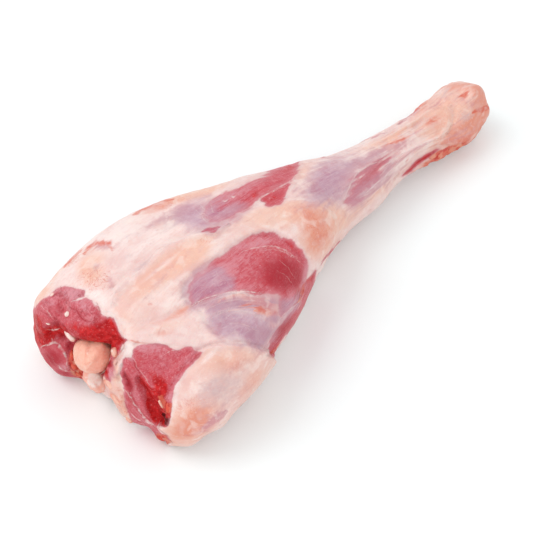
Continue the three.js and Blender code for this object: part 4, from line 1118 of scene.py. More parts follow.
def relief(pixels):
    """Sum of plates, raised by an S over their edge, and of bell-shaped creases and knobs."""
    height_there = 0
    for _, height, width, _, points in PLATES:
        height_there = height_there + height * ease(patch(pixels, points, width), -1, 1)
    for _, height, half, points in CREASES:
        height_there = height_there + height * stroke(pixels, points, half)
    for _, x, y, long, wide, turn, height in KNOBS:
        height_there = height_there + height * bell(pixels, x, y, long, wide, turn)
    return height_there


def hidden_relief():
    """Sum of the far side's bell-shaped creases and cords."""
    return sum(height * stroke(far_places, points, half)
               for _, height, half, points in HIDDEN_CREASES)


# Heights in millimetres of the lumps all over, on the hock, on the cut face and on torn tissue.
UNEVEN = [(0.6, 26, 1), (0.4, 11, 2), (0.2, 5, 3)]
HOCK_UNEVEN = [(1.3, 12, 4), (0.8, 6, 5), (0.4, 3, 9)]
CUT_UNEVEN = [(0.7, 8, 6), (0.4, 3.5, 8)]
RAGGED = [(1.1, 4, 17), (0.7, 2.2, 18)]
# Heights of streaks and cords, what the shank adds to them, and the share the hock takes off.
STREAK_HEIGHT, SHANK_STREAKS = 0.35, 0.5
CORD_HEIGHT, SHANK_CORDS = 0.1, 0.6
HOCK_TAKES = 0.7
FAR_FACING, SEEN_FACING = (0.03, 0.32), (-0.3, 0.05)    # turned from the camera, and towards it
BARE_FIELD, FILM_FIELD, TORN_FIELD = (-0.5, 0.6), (-0.9, 0.6), (-0.6, 0.6)
BARE_SUNK = 0.7                     # bare muscle lies lower than the fat round it
FLOOR_FADE = (-1, 5)                # small forms grow between these heights above the floor
PASSES = 3

# Small forms ride on the smooth ones: found in the picture, moved, and found again.
form, form_normals = skin, grid_normals(skin)
facing = form_normals @ camera_back
far_side = ease(-facing, *FAR_FACING)
seen = ease(facing, *SEEN_FACING)
uneven = (layered(skin, UNEVEN)
          + (streak * (STREAK_HEIGHT + SHANK_STREAKS * shank_share)
             + cords * (CORD_HEIGHT + SHANK_CORDS * shank_share))
          * (1 - cut_share_at) * (1 - HOCK_TAKES * end_share)
          + end_share * layered(skin, HOCK_UNEVEN) + cut_share_at * layered(skin, CUT_UNEVEN)
          + hidden_relief() * far_side)
pixels = in_picture(in_row(form))
for _ in range(PASSES):
    there = tissue_fields(pixels, ["muscle", "film", "torn"])
    bare = ease(there["muscle"], *BARE_FIELD) * (1 - ease(there["film"], *FILM_FIELD))
    torn = ease(there["torn"], *TORN_FIELD)
    rise = (relief(pixels) * seen - BARE_SUNK * bare * (1 - cut_share_at)
            + torn * layered(skin, RAGGED) + uneven)
    skin = form + form_normals * (rise * ease(form[..., 2], *FLOOR_FADE))[..., None]
    pixels = in_picture(in_row(skin))
for _, x, y, reach, along, across, up in PULLS:
    skin = skin + bell(pixels, x, y, reach, reach, 0)[..., None] * np.array([along, across, up])
skin[..., 2] = np.maximum(skin[..., 2], 0)
skin[0] = skin[0].mean(axis=0)
skin[-1] = skin[-1].mean(axis=0)

LINE_KINDS = [
    # name, lines on the side that shows, lines on the far side, pixels that the first ones stray
    ("strand", SEEN_STRANDS, HIDDEN_STRANDS, 0.8),
    ("crack", SEEN_CRACKS, HIDDEN_CRACKS, 0.5),
]
HIDDEN_STRAY = 1.5
CORD_STREAKS, HOCK_CALM = 0.4, 0.75     # cords count as streaks on the shank, and few on the hock

# The leg is fitted to its CAD box, and the tissues are then found where each point ended up.
row_points = in_row(skin)
low, high = row_points.reshape(-1, 3).min(0), row_points.reshape(-1, 3).max(0)
row_points = meat_low + (row_points - low) * (meat_high - meat_low) / (high - low)
pixels = in_picture(row_points)
tissues = tissue_fields(pixels, TISSUES)
for name, seen_lines, hidden_lines, stray in LINE_KINDS:
    near, near_there = strand_field(frayed(pixels, SEEN_FIBRES, stray), seen_lines)
    far, far_there = strand_field(frayed(far_places, HIDDEN_FIBRES, HIDDEN_STRAY), hidden_lines)
    tissues[name] = np.where(far_side > 0.5, far, near)
    tissues[name + "_there"] = near_there * (1 - far_side) + far_there * far_side
tissues["calm"] = edge_calm(pixels) * (1 - far_side)
tissues["streak"] = (streak + CORD_STREAKS * cords * shank_share) * (1 - HOCK_CALM * end_share)
tissues["cut"] = cut_share_at


def grid_mesh(name, points):
    """Quads between closed rings, with a fan of triangles at each end's single point."""
    rings, count = points.shape[:2]
    inner = points[1:-1].reshape(-1, 3)
    vertices = np.concatenate([points[:1, 0], inner, points[-1:, 0]])
    i = np.arange(count)
    j = (i + 1) % count
    row = 1 + count * np.arange(rings - 3)[:, None]
    quads = np.stack([row + i, row + j, row + count + j, row + count + i], -1).reshape(-1, 4)
    last = 1 + count * (rings - 3)
    start = np.stack([np.zeros(count, int), 1 + j, 1 + i], -1)
    end = np.stack([np.full(count, len(vertices) - 1), last + i, last + j], -1)
    mesh = bpy.data.meshes.new(name)
    mesh.from_pydata(vertices.tolist(), [], start.tolist() + quads.tolist() + end.tolist())
    mesh.polygons.foreach_set("use_smooth", np.ones(len(mesh.polygons), bool))
    return mesh


def ring_values(values):
    """Values of a grid in the order of grid_mesh's vertices."""
    return np.concatenate([values[:1, 0], values[1:-1].reshape(-1), values[-1:, 0]])


def add_values(mesh, name, values):
    """One number for each point of a grid mesh, kept under a name for its material."""
    layer = mesh.attributes.new(name, "FLOAT", "POINT")
    layer.data.foreach_set("value", ring_values(values).astype(np.float32))


leg_mesh = grid_mesh("leg", row_points)
for name, values in tissues.items():
    add_values(leg_mesh, name, values)
layer = leg_mesh.attributes.new("flow", "FLOAT_VECTOR", "POINT")
flow_values = np.stack([ring_values(flow[..., k]) for k in range(3)], -1) / 1000
layer.data.foreach_set("vector", flow_values.astype(np.float32).ravel())
leg = bpy.data.objects.new("leg", leg_mesh)
bpy.context.scene.collection.objects.link(leg)


STUDIO_SHARE = 0.91                 # the studio lights surfaces a tenth too strongly


def colour(red, green, blue):
    """Display red, green and blue, 0 to 255, as linear light, times the studio's share."""
    linear = (c / 255 / 12.92 if c < 11 else ((c / 255 + 0.055) / 1.055) ** 2.4
              for c in (red, green, blue))
    return tuple(STUDIO_SHARE * c for c in linear) + (1,)


class Paint:
    """A material's node tree, with one short call for each kind of node."""

    def __init__(self, name):
        """An empty material, whose noise is placed in metres of the object."""
        self.material = bpy.data.materials.new(name)
        self.material.use_nodes = True
        self.nodes = self.material.node_tree.nodes
        self.links = self.material.node_tree.links
        self.shader = self.nodes["Principled BSDF"]
        self.place = self.nodes.new("ShaderNodeTexCoord").outputs["Object"]

    def put(self, socket, value):
        """Link an output, or set a plain value."""
        if isinstance(value, bpy.types.NodeSocket):
            self.links.new(value, socket)
        else:
            socket.default_value = value

    def scaled(self, at, scale, turn=0):
        """Coordinates turned about the leg's length, then times a scale along each axis."""
        for socket, value in (("Rotation", (math.radians(turn), 0, 0)), ("Scale", scale)):
            node = self.nodes.new("ShaderNodeMapping")
            self.put(node.inputs["Vector"], at)
            node.inputs[socket].default_value = value
            at = node.outputs["Vector"]
        return at

    def noise(self, scale, detail=3, rough=0.55, at=None, warp=0):
        """Fractal noise about 0.5, with scale cells to the metre."""
        node = self.nodes.new("ShaderNodeTexNoise")
        self.put(node.inputs["Vector"], at or self.place)
        node.inputs["Scale"].default_value = scale
        node.inputs["Detail"].default_value = detail
        node.inputs["Roughness"].default_value = rough
        node.inputs["Distortion"].default_value = warp
        return node.outputs["Fac"]

    def value(self, name, output="Fac"):
        """A value kept on the mesh, as a number or as a vector."""
        node = self.nodes.new("ShaderNodeAttribute")
        node.attribute_name = name
        return node.outputs[output]

    def math(self, kind, a, b=0.0):
        """One arithmetic step."""
        node = self.nodes.new("ShaderNodeMath")
        node.operation = kind
        self.put(node.inputs[0], a)
        self.put(node.inputs[1], b)
        return node.outputs[0]

    def step(self, value, low, high, bottom=0.0, top=1.0):
        """Smooth step from bottom at low to top at high."""
        node = self.nodes.new("ShaderNodeMapRange")
        node.interpolation_type = "SMOOTHSTEP"
        self.put(node.inputs["Value"], value)
        node.inputs["From Min"].default_value = low
        node.inputs["From Max"].default_value = high
        node.inputs["To Min"].default_value = bottom
        node.inputs["To Max"].default_value = top
        return node.outputs["Result"]

    def mix(self, share, a, b):
        """Colour a going over to colour b by a share."""
        node = self.nodes.new("ShaderNodeMix")
        node.data_type = "RGBA"
        self.put(node.inputs["Factor"], share)
        self.put(node.inputs[6], a)
        self.put(node.inputs[7], b)
        return node.outputs[2]

    def times(self, first, *others):
        """Product of values."""
        for other in others:
            first = self.math("MULTIPLY", first, other)
        return first

    def sum(self, first, *others):
        """Sum of values."""
        for other in others:
            first = self.math("ADD", first, other)
        return first

    def wobble(self, noise, amount):
        """Noise about zero, up to amount either way."""
        return self.math("MULTIPLY", self.math("SUBTRACT", noise, 0.5), 2 * amount)

    def share(self, name, low, high, *wobbles, top=1.0):
        """A tissue's share: its field and some noise, taken through a smooth step."""
        return self.step(self.sum(self.value(name), *wobbles), low, high, 0.0, top)

    def ridges(self, noise, low, high, top=1.0):
        """Thin lines where noise crosses its middle value."""
        off = self.math("ABSOLUTE", self.math("SUBTRACT", noise, 0.5))
        return self.step(off, high, low, 0.0, top)

    def finish(self, base, rough, gleam, scatter, height, bump):
        """Wet skin: its colour, roughness and gleam, light scattered under it, and a bump."""
        share, radius, depth = scatter
        strength, distance = bump
        node = self.nodes.new("ShaderNodeBump")
        node.inputs["Strength"].default_value = strength
        node.inputs["Distance"].default_value = distance
        self.put(node.inputs["Height"], height)
        for name, value in (
                ("Base Color", base), ("Roughness", rough), ("Specular IOR Level", gleam),
                ("Subsurface Weight", share), ("Subsurface Radius", radius),
                ("Subsurface Scale", depth), ("Normal", node.outputs["Normal"])):
            self.put(self.shader.inputs[name], value)
        return self.material


# Gleam, then light under the skin as share, reach of red, green and blue, and metres, then the
# bump's strength and metres.
LEG_GLEAM, LEG_SCATTER, LEG_BUMP = 0.17, (0.08, (1.0, 0.4, 0.28), 0.0014), (0.75, 0.001)
FAT_ROUGH, MUSCLE_ROUGH = 0.46, 0.4


def leg_paint():
    """Fat, film, muscle and torn tissue, each shown where its field and noise let it."""
    p = Paint("raw lamb")
    flow_at = p.value("flow", "Vector")

    broad = p.noise(30, 3, warp=0.5)
    middle = p.noise(85, 4, warp=0.4)
    small = p.noise(270, 4)
    fine = p.noise(560, 3)
    grain = p.noise(1100, 2)
    brush = p.noise(1, 4, 0.6, at=p.scaled(flow_at, (26, 330, 330)), warp=0.5)
    thread = p.noise(1, 3, 0.5, at=p.scaled(flow_at, (50, 1300, 1300)), warp=0.3)
    fibre = p.noise(1, 4, 0.65, at=p.scaled(flow_at, (90, 1700, 1700)))
    squiggle = p.noise(95, 2, warp=2.4)
    squiggle_small = p.noise(210, 2, warp=1.8)
    crinkle = p.noise(1, 2, 0.5, at=p.scaled(p.place, (70, 170, 45), 28), warp=0.8)
    crinkle_small = p.noise(1, 3, 0.55, at=p.scaled(p.place, (160, 360, 110), 34), warp=0.8)
    streak = p.value("streak")
    cut = p.value("cut")

    # Fat and membrane, from white through pink to peach and amber.
    fat = p.mix(p.step(broad, 0.36, 0.64), colour(250, 226, 221), colour(241, 206, 202))
    fat = p.mix(p.step(brush, 0.38, 0.66, 0, 0.35), fat, colour(251, 232, 226))
    peach = p.share("peach", 0.1, 1.1, p.wobble(middle, 0.35), p.wobble(brush, 0.4), top=0.9)
    fat = p.mix(peach, fat, colour(247, 197, 176))
    # White: whiter fat, and painted highlight along the lit edges of the sheet and the flap.
    white = p.share("white", 0.1, 1.0, p.wobble(middle, 0.3), p.wobble(brush, 0.4), top=0.85)
    fat = p.mix(white, fat, colour(253, 238, 234))
    # Amber: warm fat, and painted shade on the flap's low and right side.
    amber = p.share("amber", 0.0, 1.3, p.wobble(small, 0.25), p.wobble(brush, 0.3), top=0.9)
    fat = p.mix(amber, fat, colour(233, 146, 122))
    # Blush: pink-lilac tissue, and painted shade along the flap's low side and under the shank.
    blush = p.share("blush", 0.1, 1.0, p.wobble(small, 0.4), p.wobble(brush, 0.9), top=0.85)
    fat = p.mix(blush, fat, colour(212, 148, 156))
    # Grey: a greyish veil, and painted shade in hollows, valleys, under edges and over the flap.
    grey_and_shade = p.share("grey_and_shade", 0.1, 1.2, p.wobble(small, 0.3), p.wobble(brush, 0.5), top=0.75)
    fat = p.mix(grey_and_shade, fat, colour(214, 188, 191))
    orange = p.share("orange", 0.2, 1.0, p.wobble(small, 0.6), p.wobble(brush, 0.4), top=0.9)
    fat = p.mix(orange, fat, colour(224, 110, 88))
    vein = p.share("vein", 0.05, 0.8, p.wobble(middle, 0.5))
    fat = p.mix(p.times(p.ridges(squiggle, 0.0, 0.022, 0.85), vein), fat, colour(220, 112, 92))
    fat = p.mix(p.times(p.ridges(squiggle_small, 0.0, 0.028, 0.5), vein), fat,
                colour(230, 140, 120))
    fat = p.mix(p.step(streak, -0.12, -0.6, 0, 0.3), fat, colour(226, 160, 154))
    fat = p.mix(p.step(streak, 0.15, 0.7, 0, 0.3), fat, colour(252, 230, 222))
    fat = p.mix(p.ridges(thread, 0.0, 0.03, 0.2), fat, colour(228, 160, 152))
    fat = p.mix(p.step(middle, 0.5, 0.68, 0, 0.4), fat, colour(240, 198, 190))
    fat = p.mix(p.step(middle, 0.48, 0.34, 0, 0.4), fat, colour(253, 234, 227))
    fat = p.mix(p.step(small, 0.54, 0.74, 0, 0.25), fat, colour(237, 190, 180))
    fat = p.mix(p.step(fine, 0.58, 0.72, 0, 0.25), fat, colour(254, 238, 232))

    # Thin film over muscle: bluish lilac, streaked with white and with red showing through.
    film_tint = p.mix(p.step(brush, 0.38, 0.62), colour(188, 136, 160), colour(208, 172, 188))
    film_tint = p.mix(p.step(fibre, 0.5, 0.7, 0, 0.55), film_tint, colour(222, 194, 203))
    film_tint = p.mix(p.step(middle, 0.48, 0.7, 0, 0.6), film_tint, colour(196, 134, 150))
    film_tint = p.mix(p.ridges(squiggle, 0.0, 0.02, 0.4), film_tint, colour(226, 204, 208))
    film_tint = p.mix(p.times(blush, 0.6), film_tint, colour(186, 136, 152))
    film = p.share("film", -0.9, 0.9, p.wobble(middle, 0.8), p.wobble(brush, 0.9), top=0.9)
    covered = p.mix(p.times(film, p.step(amber, 0.1, 0.6, 1, 0.15)), fat, film_tint)

    # Bare muscle, rose with darker and brighter places, fibres and a dusty haze.
    rose = p.mix(p.step(fibre, 0.34, 0.66), colour(204, 78, 90), colour(218, 108, 118))
    rose = p.mix(p.step(middle, 0.44, 0.68, 0, 0.45), rose, colour(212, 68, 74))
    # Haze: dusty bloom, and a painted sheen at the window's top.
    haze = p.share("haze", 0.0, 1.2, p.wobble(small, 0.5), p.wobble(fibre, 0.7), top=0.85)
    rose = p.mix(haze, rose, colour(226, 156, 166))
    rose = p.mix(p.step(small, 0.54, 0.74, 0, 0.35), rose, colour(226, 132, 142))
    # Darker muscle, and painted shade in crevices, holes and recesses.
    dark = p.share("dark", 0.1, 1.1, p.wobble(middle, 0.4), p.wobble(fibre, 0.4), top=0.92)
    rose = p.mix(dark, rose, colour(180, 40, 54))

    # Wrinkles of the cut face: broken dark lines of painted shade in their creases, with pale bloom and
    # flecks between them.
    wrinkled = p.times(p.share("wrinkle", 0.05, 0.9), p.step(middle, 0.42, 0.58, 0.2, 1.0))
    wrinkle = p.times(p.ridges(crinkle, 0.0, 0.045), wrinkled)
    wrinkle_small = p.times(p.ridges(crinkle_small, 0.0, 0.04), wrinkled)
    rose = p.mix(p.times(wrinkle, 0.6), rose, colour(176, 34, 48))
    rose = p.mix(p.times(wrinkle_small, 0.35), rose, colour(184, 48, 60))
    pale = p.times(p.step(crinkle, 0.56, 0.68), wrinkled)
    rose = p.mix(p.times(pale, 0.45), rose, colour(230, 160, 168))
    # Deep: vivid red of the fresh cut, and painted shade in crevices and under edges.
    deep = p.share("deep", -0.8, 0.7, p.wobble(small, 0.9), p.wobble(middle, 0.6), top=0.97)
    vivid = p.mix(p.step(small, 0.4, 0.6), colour(188, 2, 8), colour(216, 34, 36))
    vivid = p.mix(p.step(middle, 0.48, 0.64, 0, 0.6), vivid, colour(170, 14, 24))
    # Light flecks on the vivid red: painted glints of its wet grain.
    vivid = p.mix(p.step(fine, 0.56, 0.68, 0, 0.5), vivid, colour(230, 90, 88))
    rose = p.mix(deep, rose, vivid)
    # Painted shade: near black where the dark field runs highest, in the topside holes, the recess and the
    # crevices.
    rose = p.mix(p.share("dark", 1.6, 2.2, p.wobble(small, 0.4), top=0.92), rose,
                 colour(96, 8, 12))
    # Pale flecks on the plain muscle, partly painted wet glints.
    plain = p.times(p.step(deep, 0, 1, 1, 0.35), p.step(dark, 0, 0.6, 1, 0.3))
    rose = p.mix(p.times(p.step(fine, 0.56, 0.7, 0, 0.45), plain), rose, colour(230, 150, 158))
    rose = p.mix(p.times(p.step(grain, 0.6, 0.72, 0, 0.45), plain), rose, colour(240, 186, 190))
    rose = p.mix(p.times(film, 0.85), rose, film_tint)

    # The fat thins to a translucent veil before the muscle shows bare.
    loose = p.step(p.value("calm"), 0, 1, 1, 0.25)
    wander = p.sum(p.times(loose, p.sum(p.wobble(middle, 0.3), p.wobble(brush, 0.8))),
                   p.wobble(small, 0.25), p.wobble(fine, 0.12))
    veil = p.share("muscle", -1.0, 0.1, wander, top=0.5)
    covered = p.mix(p.times(veil, p.step(cut, 0, 1, 1, 0.4)), covered, colour(222, 178, 180))
    bare = p.share("muscle", -0.2, 0.26, wander)
    rose = p.mix(p.share("muscle", 1.1, 0.0, wander, top=0.5), rose, colour(220, 150, 158))
    skin_colour = p.mix(bare, covered, rose)

    # Torn tissue: orange, red and tan shreds. White strands, and dark cracks of painted shade, lie over
    # everything.
    torn = p.share("torn", -0.4, 0.4, p.wobble(small, 0.9))
    shreds = p.mix(p.step(small, 0.42, 0.52), colour(206, 40, 34), colour(226, 108, 84))
    shreds = p.mix(p.step(middle, 0.5, 0.6, 0, 0.8), shreds, colour(238, 164, 136))
    skin_colour = p.mix(p.times(torn, 0.85), skin_colour, shreds)
    across = p.math("ABSOLUTE", p.sum(p.value("strand"), p.wobble(fine, 0.8)))
    strand = p.times(p.step(across, 1.6, 0.3), p.value("strand_there"),
                     p.step(small, 0.4, 0.56, 0.25, 1.0))
    skin_colour = p.mix(strand, skin_colour, colour(248, 226, 222))
    # Cracks: painted shade along the folds.
    across = p.math("ABSOLUTE", p.sum(p.value("crack"), p.wobble(fine, 0.8)))
    crack = p.times(p.step(across, 1.7, 0.2), p.value("crack_there"),
                    p.step(small, 0.36, 0.5, 0.4, 1.0))
    skin_colour = p.mix(crack, skin_colour, colour(172, 26, 38))

    rough = p.sum(p.step(bare, 0, 1, FAT_ROUGH, MUSCLE_ROUGH), p.wobble(grain, 0.1))
    height = p.sum(p.times(brush, 0.7), p.times(middle, 0.9), p.times(small, 0.45),
                   p.times(fine, 0.15), p.times(bare, -0.7), p.times(fibre, bare, 0.8),
                   p.times(wrinkle, bare, -0.8), p.times(wrinkle_small, bare, -0.4),
                   p.times(strand, 0.5), p.times(torn, small, 1.2), p.times(crack, -0.4))
    return p.finish(skin_colour, rough, LEG_GLEAM, LEG_SCATTER, height, LEG_BUMP)


leg_mesh.materials.append(leg_paint())
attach(leg, "root")
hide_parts("leg_meat")

# ---------------------------------------------------------------------------------------
# End of the thigh bone. A worn ball of bone under smooth wet gristle, on a short neck that
# goes into the leg, where the butcher's knife freed it from the hip.
# ---------------------------------------------------------------------------------------
BALL_SHIFT = (1.6, -0.6, 1.4)       # millimetres to the camera's right, up and towards it
BALL_END = 136                      # degrees from the ball's front to where the neck begins
NECK_RADIUS, NECK_LENGTH = 8.5, 30
NECK_STEPS = (2, 7)                 # first rings of the neck, past the ball's end
NECK_SHARES = (1.0, 0.97, 0.96, 0.0)    # of the radius at those, at the neck's end, and closed
NECK_DIRECTION = np.array([1, 0.1, -0.12])
BONE_RINGS, BONE_POINTS = 110, 110
BALL_FACES = [
    # name, direction to the camera's right, up and towards it, distance in millimetres
    ("left front", (-0.60, 0.10, 0.79), 13.2),
    ("right front", (0.46, -0.30, 0.83), 12.4),
    ("brow left", (-0.42, 0.72, 0.55), 11.9),
    ("brow right", (0.42, 0.72, 0.55), 11.6),
    ("chin", (-0.10, -0.84, 0.52), 11.6),
    ("right end", (0.98, 0.06, 0.18), 13.2),
    ("left end", (-0.98, -0.04, 0.18), 13.4),
    ("lower left", (-0.66, -0.60, 0.44), 11.8),
    ("lower right", (0.64, -0.66, 0.38), 12.2),
    ("crown", (0.0, 0.98, -0.2), 11.6),
    ("foot", (0.0, -0.98, -0.2), 11.6),
    ("back", (0.0, 0.0, -1.0), 13.0),
    ("back right", (0.7, 0.0, -0.7), 13.4),
    ("back left", (-0.7, 0.0, -0.7), 13.4),
]
BALL_BLUNTNESS = 6
BALL_ROUNDNESS, BALL_RADIUS = 0.42, 13.6
BALL_LUMPS = [(0.035, 4.5, 31), (0.015, 2.0, 32)]   # share of the radius, size, seed
VALLEY_PLACE, VALLEY_WIDTH, VALLEY_SHARE = -1.6, 2.6, 0.13
VALLEY_FADE = (-1, 8)               # from the ball's middle up to its brow
RIDGE_TURN, RIDGE_PLACE, RIDGE_WIDTH, RIDGE_SHARE = 32, 1.6, 2.2, 0.09
RIDGE_FADE = (2, 8)                 # from the ball's side to its front
SHADED_SIDE, SHADED_SIDE_FADE = (0.85, -0.45), (-1, 6)     # the lower right of the ball is painted darker and warmer: painted shade


def camera_way(right, up, back=0):
    """Sum of the camera's right, up and back, each times its share."""
    return right * camera_right + up * camera_up + back * camera_back


def knob(directions, faces, sharpness):
    """Radius of a blunt many-faced knob: a power mean of its faces' reach each way."""
    total = 0
    for _, way, reach in faces:
        total = total + np.maximum(directions @ unit(camera_way(*way)) / reach, 0) ** sharpness
    return total ** (-1 / sharpness)


def ways_round(turn, around, axis):
    """Unit directions on rings round an axis, from its tail to its head."""
    side = unit(np.cross(axis, [0, 0, 1.0]))
    up = np.cross(side, axis)
    ring = np.cos(around)[None, :, None] * side - np.sin(around)[None, :, None] * up
    return -np.cos(turn)[:, None, None] * axis + np.sin(turn)[:, None, None] * ring


def worn(ball):
    """Size of the ball less a bell-shaped valley down from its brow, plus a slanting ridge."""
    right, up, back = ball @ camera_right, ball @ camera_up, ball @ camera_back
    valley = np.exp(-((right - VALLEY_PLACE) / VALLEY_WIDTH) ** 2) * ease(up, *VALLEY_FADE)
    turn = math.radians(RIDGE_TURN)
    across = right * math.cos(turn) - up * math.sin(turn) - RIDGE_PLACE
    ridge = np.exp(-(across / RIDGE_WIDTH) ** 2) * ease(back, *RIDGE_FADE)
    return 1 - VALLEY_SHARE * valley + RIDGE_SHARE * ridge


def bone_points():
    """The worn knob, part way to a sphere, with a little noise, then straight neck rings."""
    axis = unit(NECK_DIRECTION)
    around = np.linspace(0, 2 * math.pi, BONE_POINTS, endpoint=False)
    ways = ways_round(np.linspace(0, math.radians(BALL_END), BONE_RINGS), around, axis)
    reach = knob(ways, BALL_FACES, BALL_BLUNTNESS)
    ball = ways * (reach + BALL_ROUNDNESS * (BALL_RADIUS - reach))[..., None]
    ball = ball * worn(ball)[..., None]
    ball = ball * (1 + layered(ball, BALL_LUMPS))[..., None]
    ring = unit(ball[-1] - (ball[-1] @ axis)[:, None] * axis) * NECK_RADIUS
    start = float((ball[-1] @ axis).max())
    places = [start + step for step in NECK_STEPS] + [NECK_LENGTH, NECK_LENGTH]
    neck = [ring * share + axis * place for place, share in zip(places, NECK_SHARES)]
    return np.concatenate([ball, np.array(neck)]) + np.array(BALL) + camera_way(*BALL_SHIFT)


bone_grid = bone_points()
bone_mesh = grid_mesh("thigh_bone_ball", in_row(bone_grid))
bone_place = bone_grid - bone_grid[:BONE_RINGS].mean(axis=(0, 1))
# The rim value marks the ball's lower right as the camera sees it, where its colour is painted shade.
add_values(bone_mesh, "rim", ease(bone_place @ unit(camera_way(*SHADED_SIDE)), *SHADED_SIDE_FADE))
bone = bpy.data.objects.new("thigh_bone_ball", bone_mesh)
bpy.context.scene.collection.objects.link(bone)


GRISTLE_ROUGH, GRISTLE_GLEAM = 0.36, 0.32
GRISTLE_SCATTER, GRISTLE_BUMP = (0.1, (1.0, 0.4, 0.25), 0.0016), (0.6, 0.0009)


def gristle_paint(name, crown, rim, stain, fleck):
    """Smooth gristle: one colour at the crown, another at the rim, clouded, veined, flecked. On the ball
    the rim colour is painted shade.
    """
    p = Paint(name)
    middle = p.noise(150, 4, warp=0.6)
    small = p.noise(420, 3)
    squiggle = p.noise(160, 2, warp=1.6)
    base = p.mix(p.share("rim", 0.1, 0.9, p.wobble(middle, 0.7)), colour(*crown), colour(*rim))
    base = p.mix(p.step(middle, 0.5, 0.7, 0, 0.6), base, colour(*stain))
    base = p.mix(p.ridges(squiggle, 0.0, 0.02, 0.4), base, colour(*stain))
    base = p.mix(p.step(small, 0.55, 0.72, 0, 0.5), base, colour(*fleck))
    height = p.sum(middle, p.times(small, 0.5))
    return p.finish(base, GRISTLE_ROUGH, GRISTLE_GLEAM, GRISTLE_SCATTER, height, GRISTLE_BUMP)


# The ball's rim colour, darker and warmer than its crown, is painted shade on its lower right.
bone_mesh.materials.append(gristle_paint(
    "worn ball", (252, 190, 168), (250, 176, 154), (236, 142, 122), (252, 218, 202)))
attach(bone, "root")
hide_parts("thigh_bone")

# ---------------------------------------------------------------------------------------
# Scraps that the knife left on the cut: a soft gristle lump under the ball, a nub beside
# it, shreds of torn tissue, tags of fat, and a few white and peach beads. All grow out
# of the cut face.
# ---------------------------------------------------------------------------------------
GRISTLE = gristle_paint(
    "gristle lump", (253, 232, 224), (248, 184, 166), (240, 176, 162), (254, 236, 230))
SHRED = gristle_paint(
    "torn shreds", (224, 84, 66), (190, 34, 32), (232, 140, 104), (216, 110, 88))
FAT_TAG = gristle_paint(
    "fat tags", (248, 198, 178), (242, 170, 150), (236, 150, 132), (252, 216, 202))
WHITE_BEAD = gristle_paint(
    "white beads", (253, 232, 222), (244, 196, 184), (246, 208, 196), (253, 236, 228))
SCRAPS = [
    # name, finish, place in the picture, half sizes in mm across, up and towards the camera,
    # turn to the right, sunk
    ("gristle lump", GRISTLE, (96, 379), (6.8, 9.0, 7.0), -40, 1.2),
    ("gristle foot", FAT_TAG, (100, 388), (5.6, 3.4, 4.6), 14, 1.6),
    ("gristle shoulder", FAT_TAG, (88, 377), (4.0, 6.4, 5.0), -36, 2.2),
    ("nub", FAT_TAG, (114, 352), (2.4, 3.6, 3.6), 10, 0.2),
    ("nub crown", WHITE_BEAD, (113.4, 350.6), (1.4, 1.2, 1.8), 20, -2.4),
    ("white cord", WHITE_BEAD, (70, 335.5), (2.4, 5.2, 3.0), -42, 0.6),
    ("peach bead", WHITE_BEAD, (66.5, 314), (1.7, 2.1, 1.6), 34, 0.4),
    ("white bead", WHITE_BEAD, (52, 294), (1.7, 0.9, 1.2), -34, 0.2),
    ("crevice bead", WHITE_BEAD, (48, 324), (1.5, 0.7, 1.2), 20, 0.4),
    ("upper shred", SHRED, (72, 355), (1.9, 4.4, 2.6), -4, 0.8),
    ("middle shred", SHRED, (74, 366), (2.6, 4.0, 2.6), -24, 0.8),
    ("lower shred", SHRED, (79, 374), (3.2, 2.8, 2.6), 20, 0.8),
    ("flap shred", SHRED, (168, 409), (1.8, 4.6, 1.6), -6, 0.8),
    ("flap shred two", FAT_TAG, (161, 403), (1.0, 4.0, 1.4), -28, 0.5),
    ("strip tag", FAT_TAG, (129, 419), (2.2, 3.0, 2.6), -30, 1.2),
    ("strip tag two", FAT_TAG, (117, 399), (2.6, 6.4, 3.4), -40, 2.6),
    ("strip tag three", FAT_TAG, (109, 384), (2.6, 4.6, 3.4), -36, 2.4),
    ("foot tag", SHRED, (162, 438), (3.4, 1.6, 1.6), 24, 0.8),
]
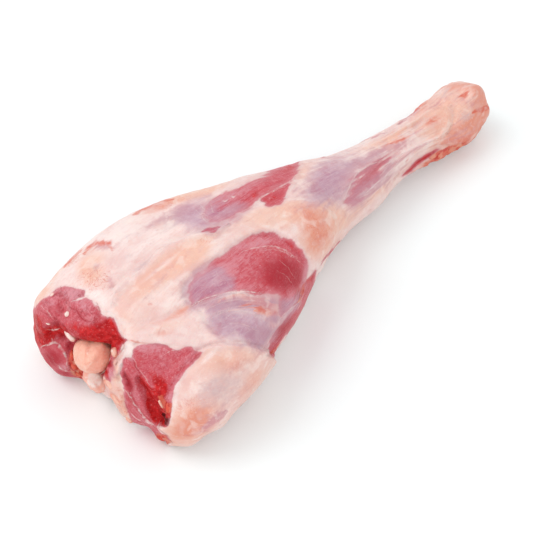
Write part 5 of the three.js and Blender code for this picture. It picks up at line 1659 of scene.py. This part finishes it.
SCRAP_RINGS, SCRAP_POINTS = 30, 40
SCRAP_LUMPS = [(0.22, 0.8, 0), (0.09, 0.34, 1)]     # share of the radius, size, seed past its own
SCRAP_RIM = (0.5, 0.95)             # where a scrap turns to its rim's colour, by its width
FIRST_SEED = 40
LEAST_FACING, HIDDEN_COST = 0.05, 100   # points that face the camera less count this far off


def on_skin(place):
    """The leg's visible point nearest to a place in the picture."""
    hidden = facing < LEAST_FACING
    gap = np.linalg.norm(pixels - np.array(place), axis=-1) + HIDDEN_COST * hidden
    found = np.unravel_index(np.argmin(gap), gap.shape)
    return row_points[found]


def scrap_mesh(name, place, half_sizes, turn, sunk, seed):
    """An ellipsoid with lumps, its axes to the camera's right, up and back, sunk in the skin."""
    point = on_skin(place)
    cos, sin = math.cos(math.radians(turn)), math.sin(math.radians(turn))
    axes = np.stack([camera_right * cos - camera_up * sin,
                     camera_right * sin + camera_up * cos, camera_back])
    polar, around = np.broadcast_arrays(
        np.linspace(0, math.pi, SCRAP_RINGS)[:, None],
        np.linspace(0, 2 * math.pi, SCRAP_POINTS, endpoint=False)[None, :])
    ball = np.stack([np.sin(polar) * np.cos(around), np.sin(polar) * np.sin(around),
                     -np.cos(polar)], -1)
    layers = [(share, size, seed + later) for share, size, later in SCRAP_LUMPS]
    ball = ball * (1 + layered(ball + seed, layers))[..., None]
    ball[0], ball[-1] = ball[0].mean(axis=0), ball[-1].mean(axis=0)
    size = np.array(half_sizes) / 1000
    mesh = grid_mesh(name, point - camera_back * sunk / 1000 + (ball * size) @ axes)
    add_values(mesh, "rim", ease(np.sin(polar), *SCRAP_RIM))
    return mesh


for seed, (name, finish, place, half_sizes, turn, sunk) in enumerate(SCRAPS, start=FIRST_SEED):
    mesh = scrap_mesh(name.replace(" ", "_"), place, half_sizes, turn, sunk, seed)
    mesh.materials.append(finish)
    scrap = bpy.data.objects.new(mesh.name, mesh)
    bpy.context.scene.collection.objects.link(scrap)
    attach(scrap, "root")

bpy.context.view_layer.update()
low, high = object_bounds()
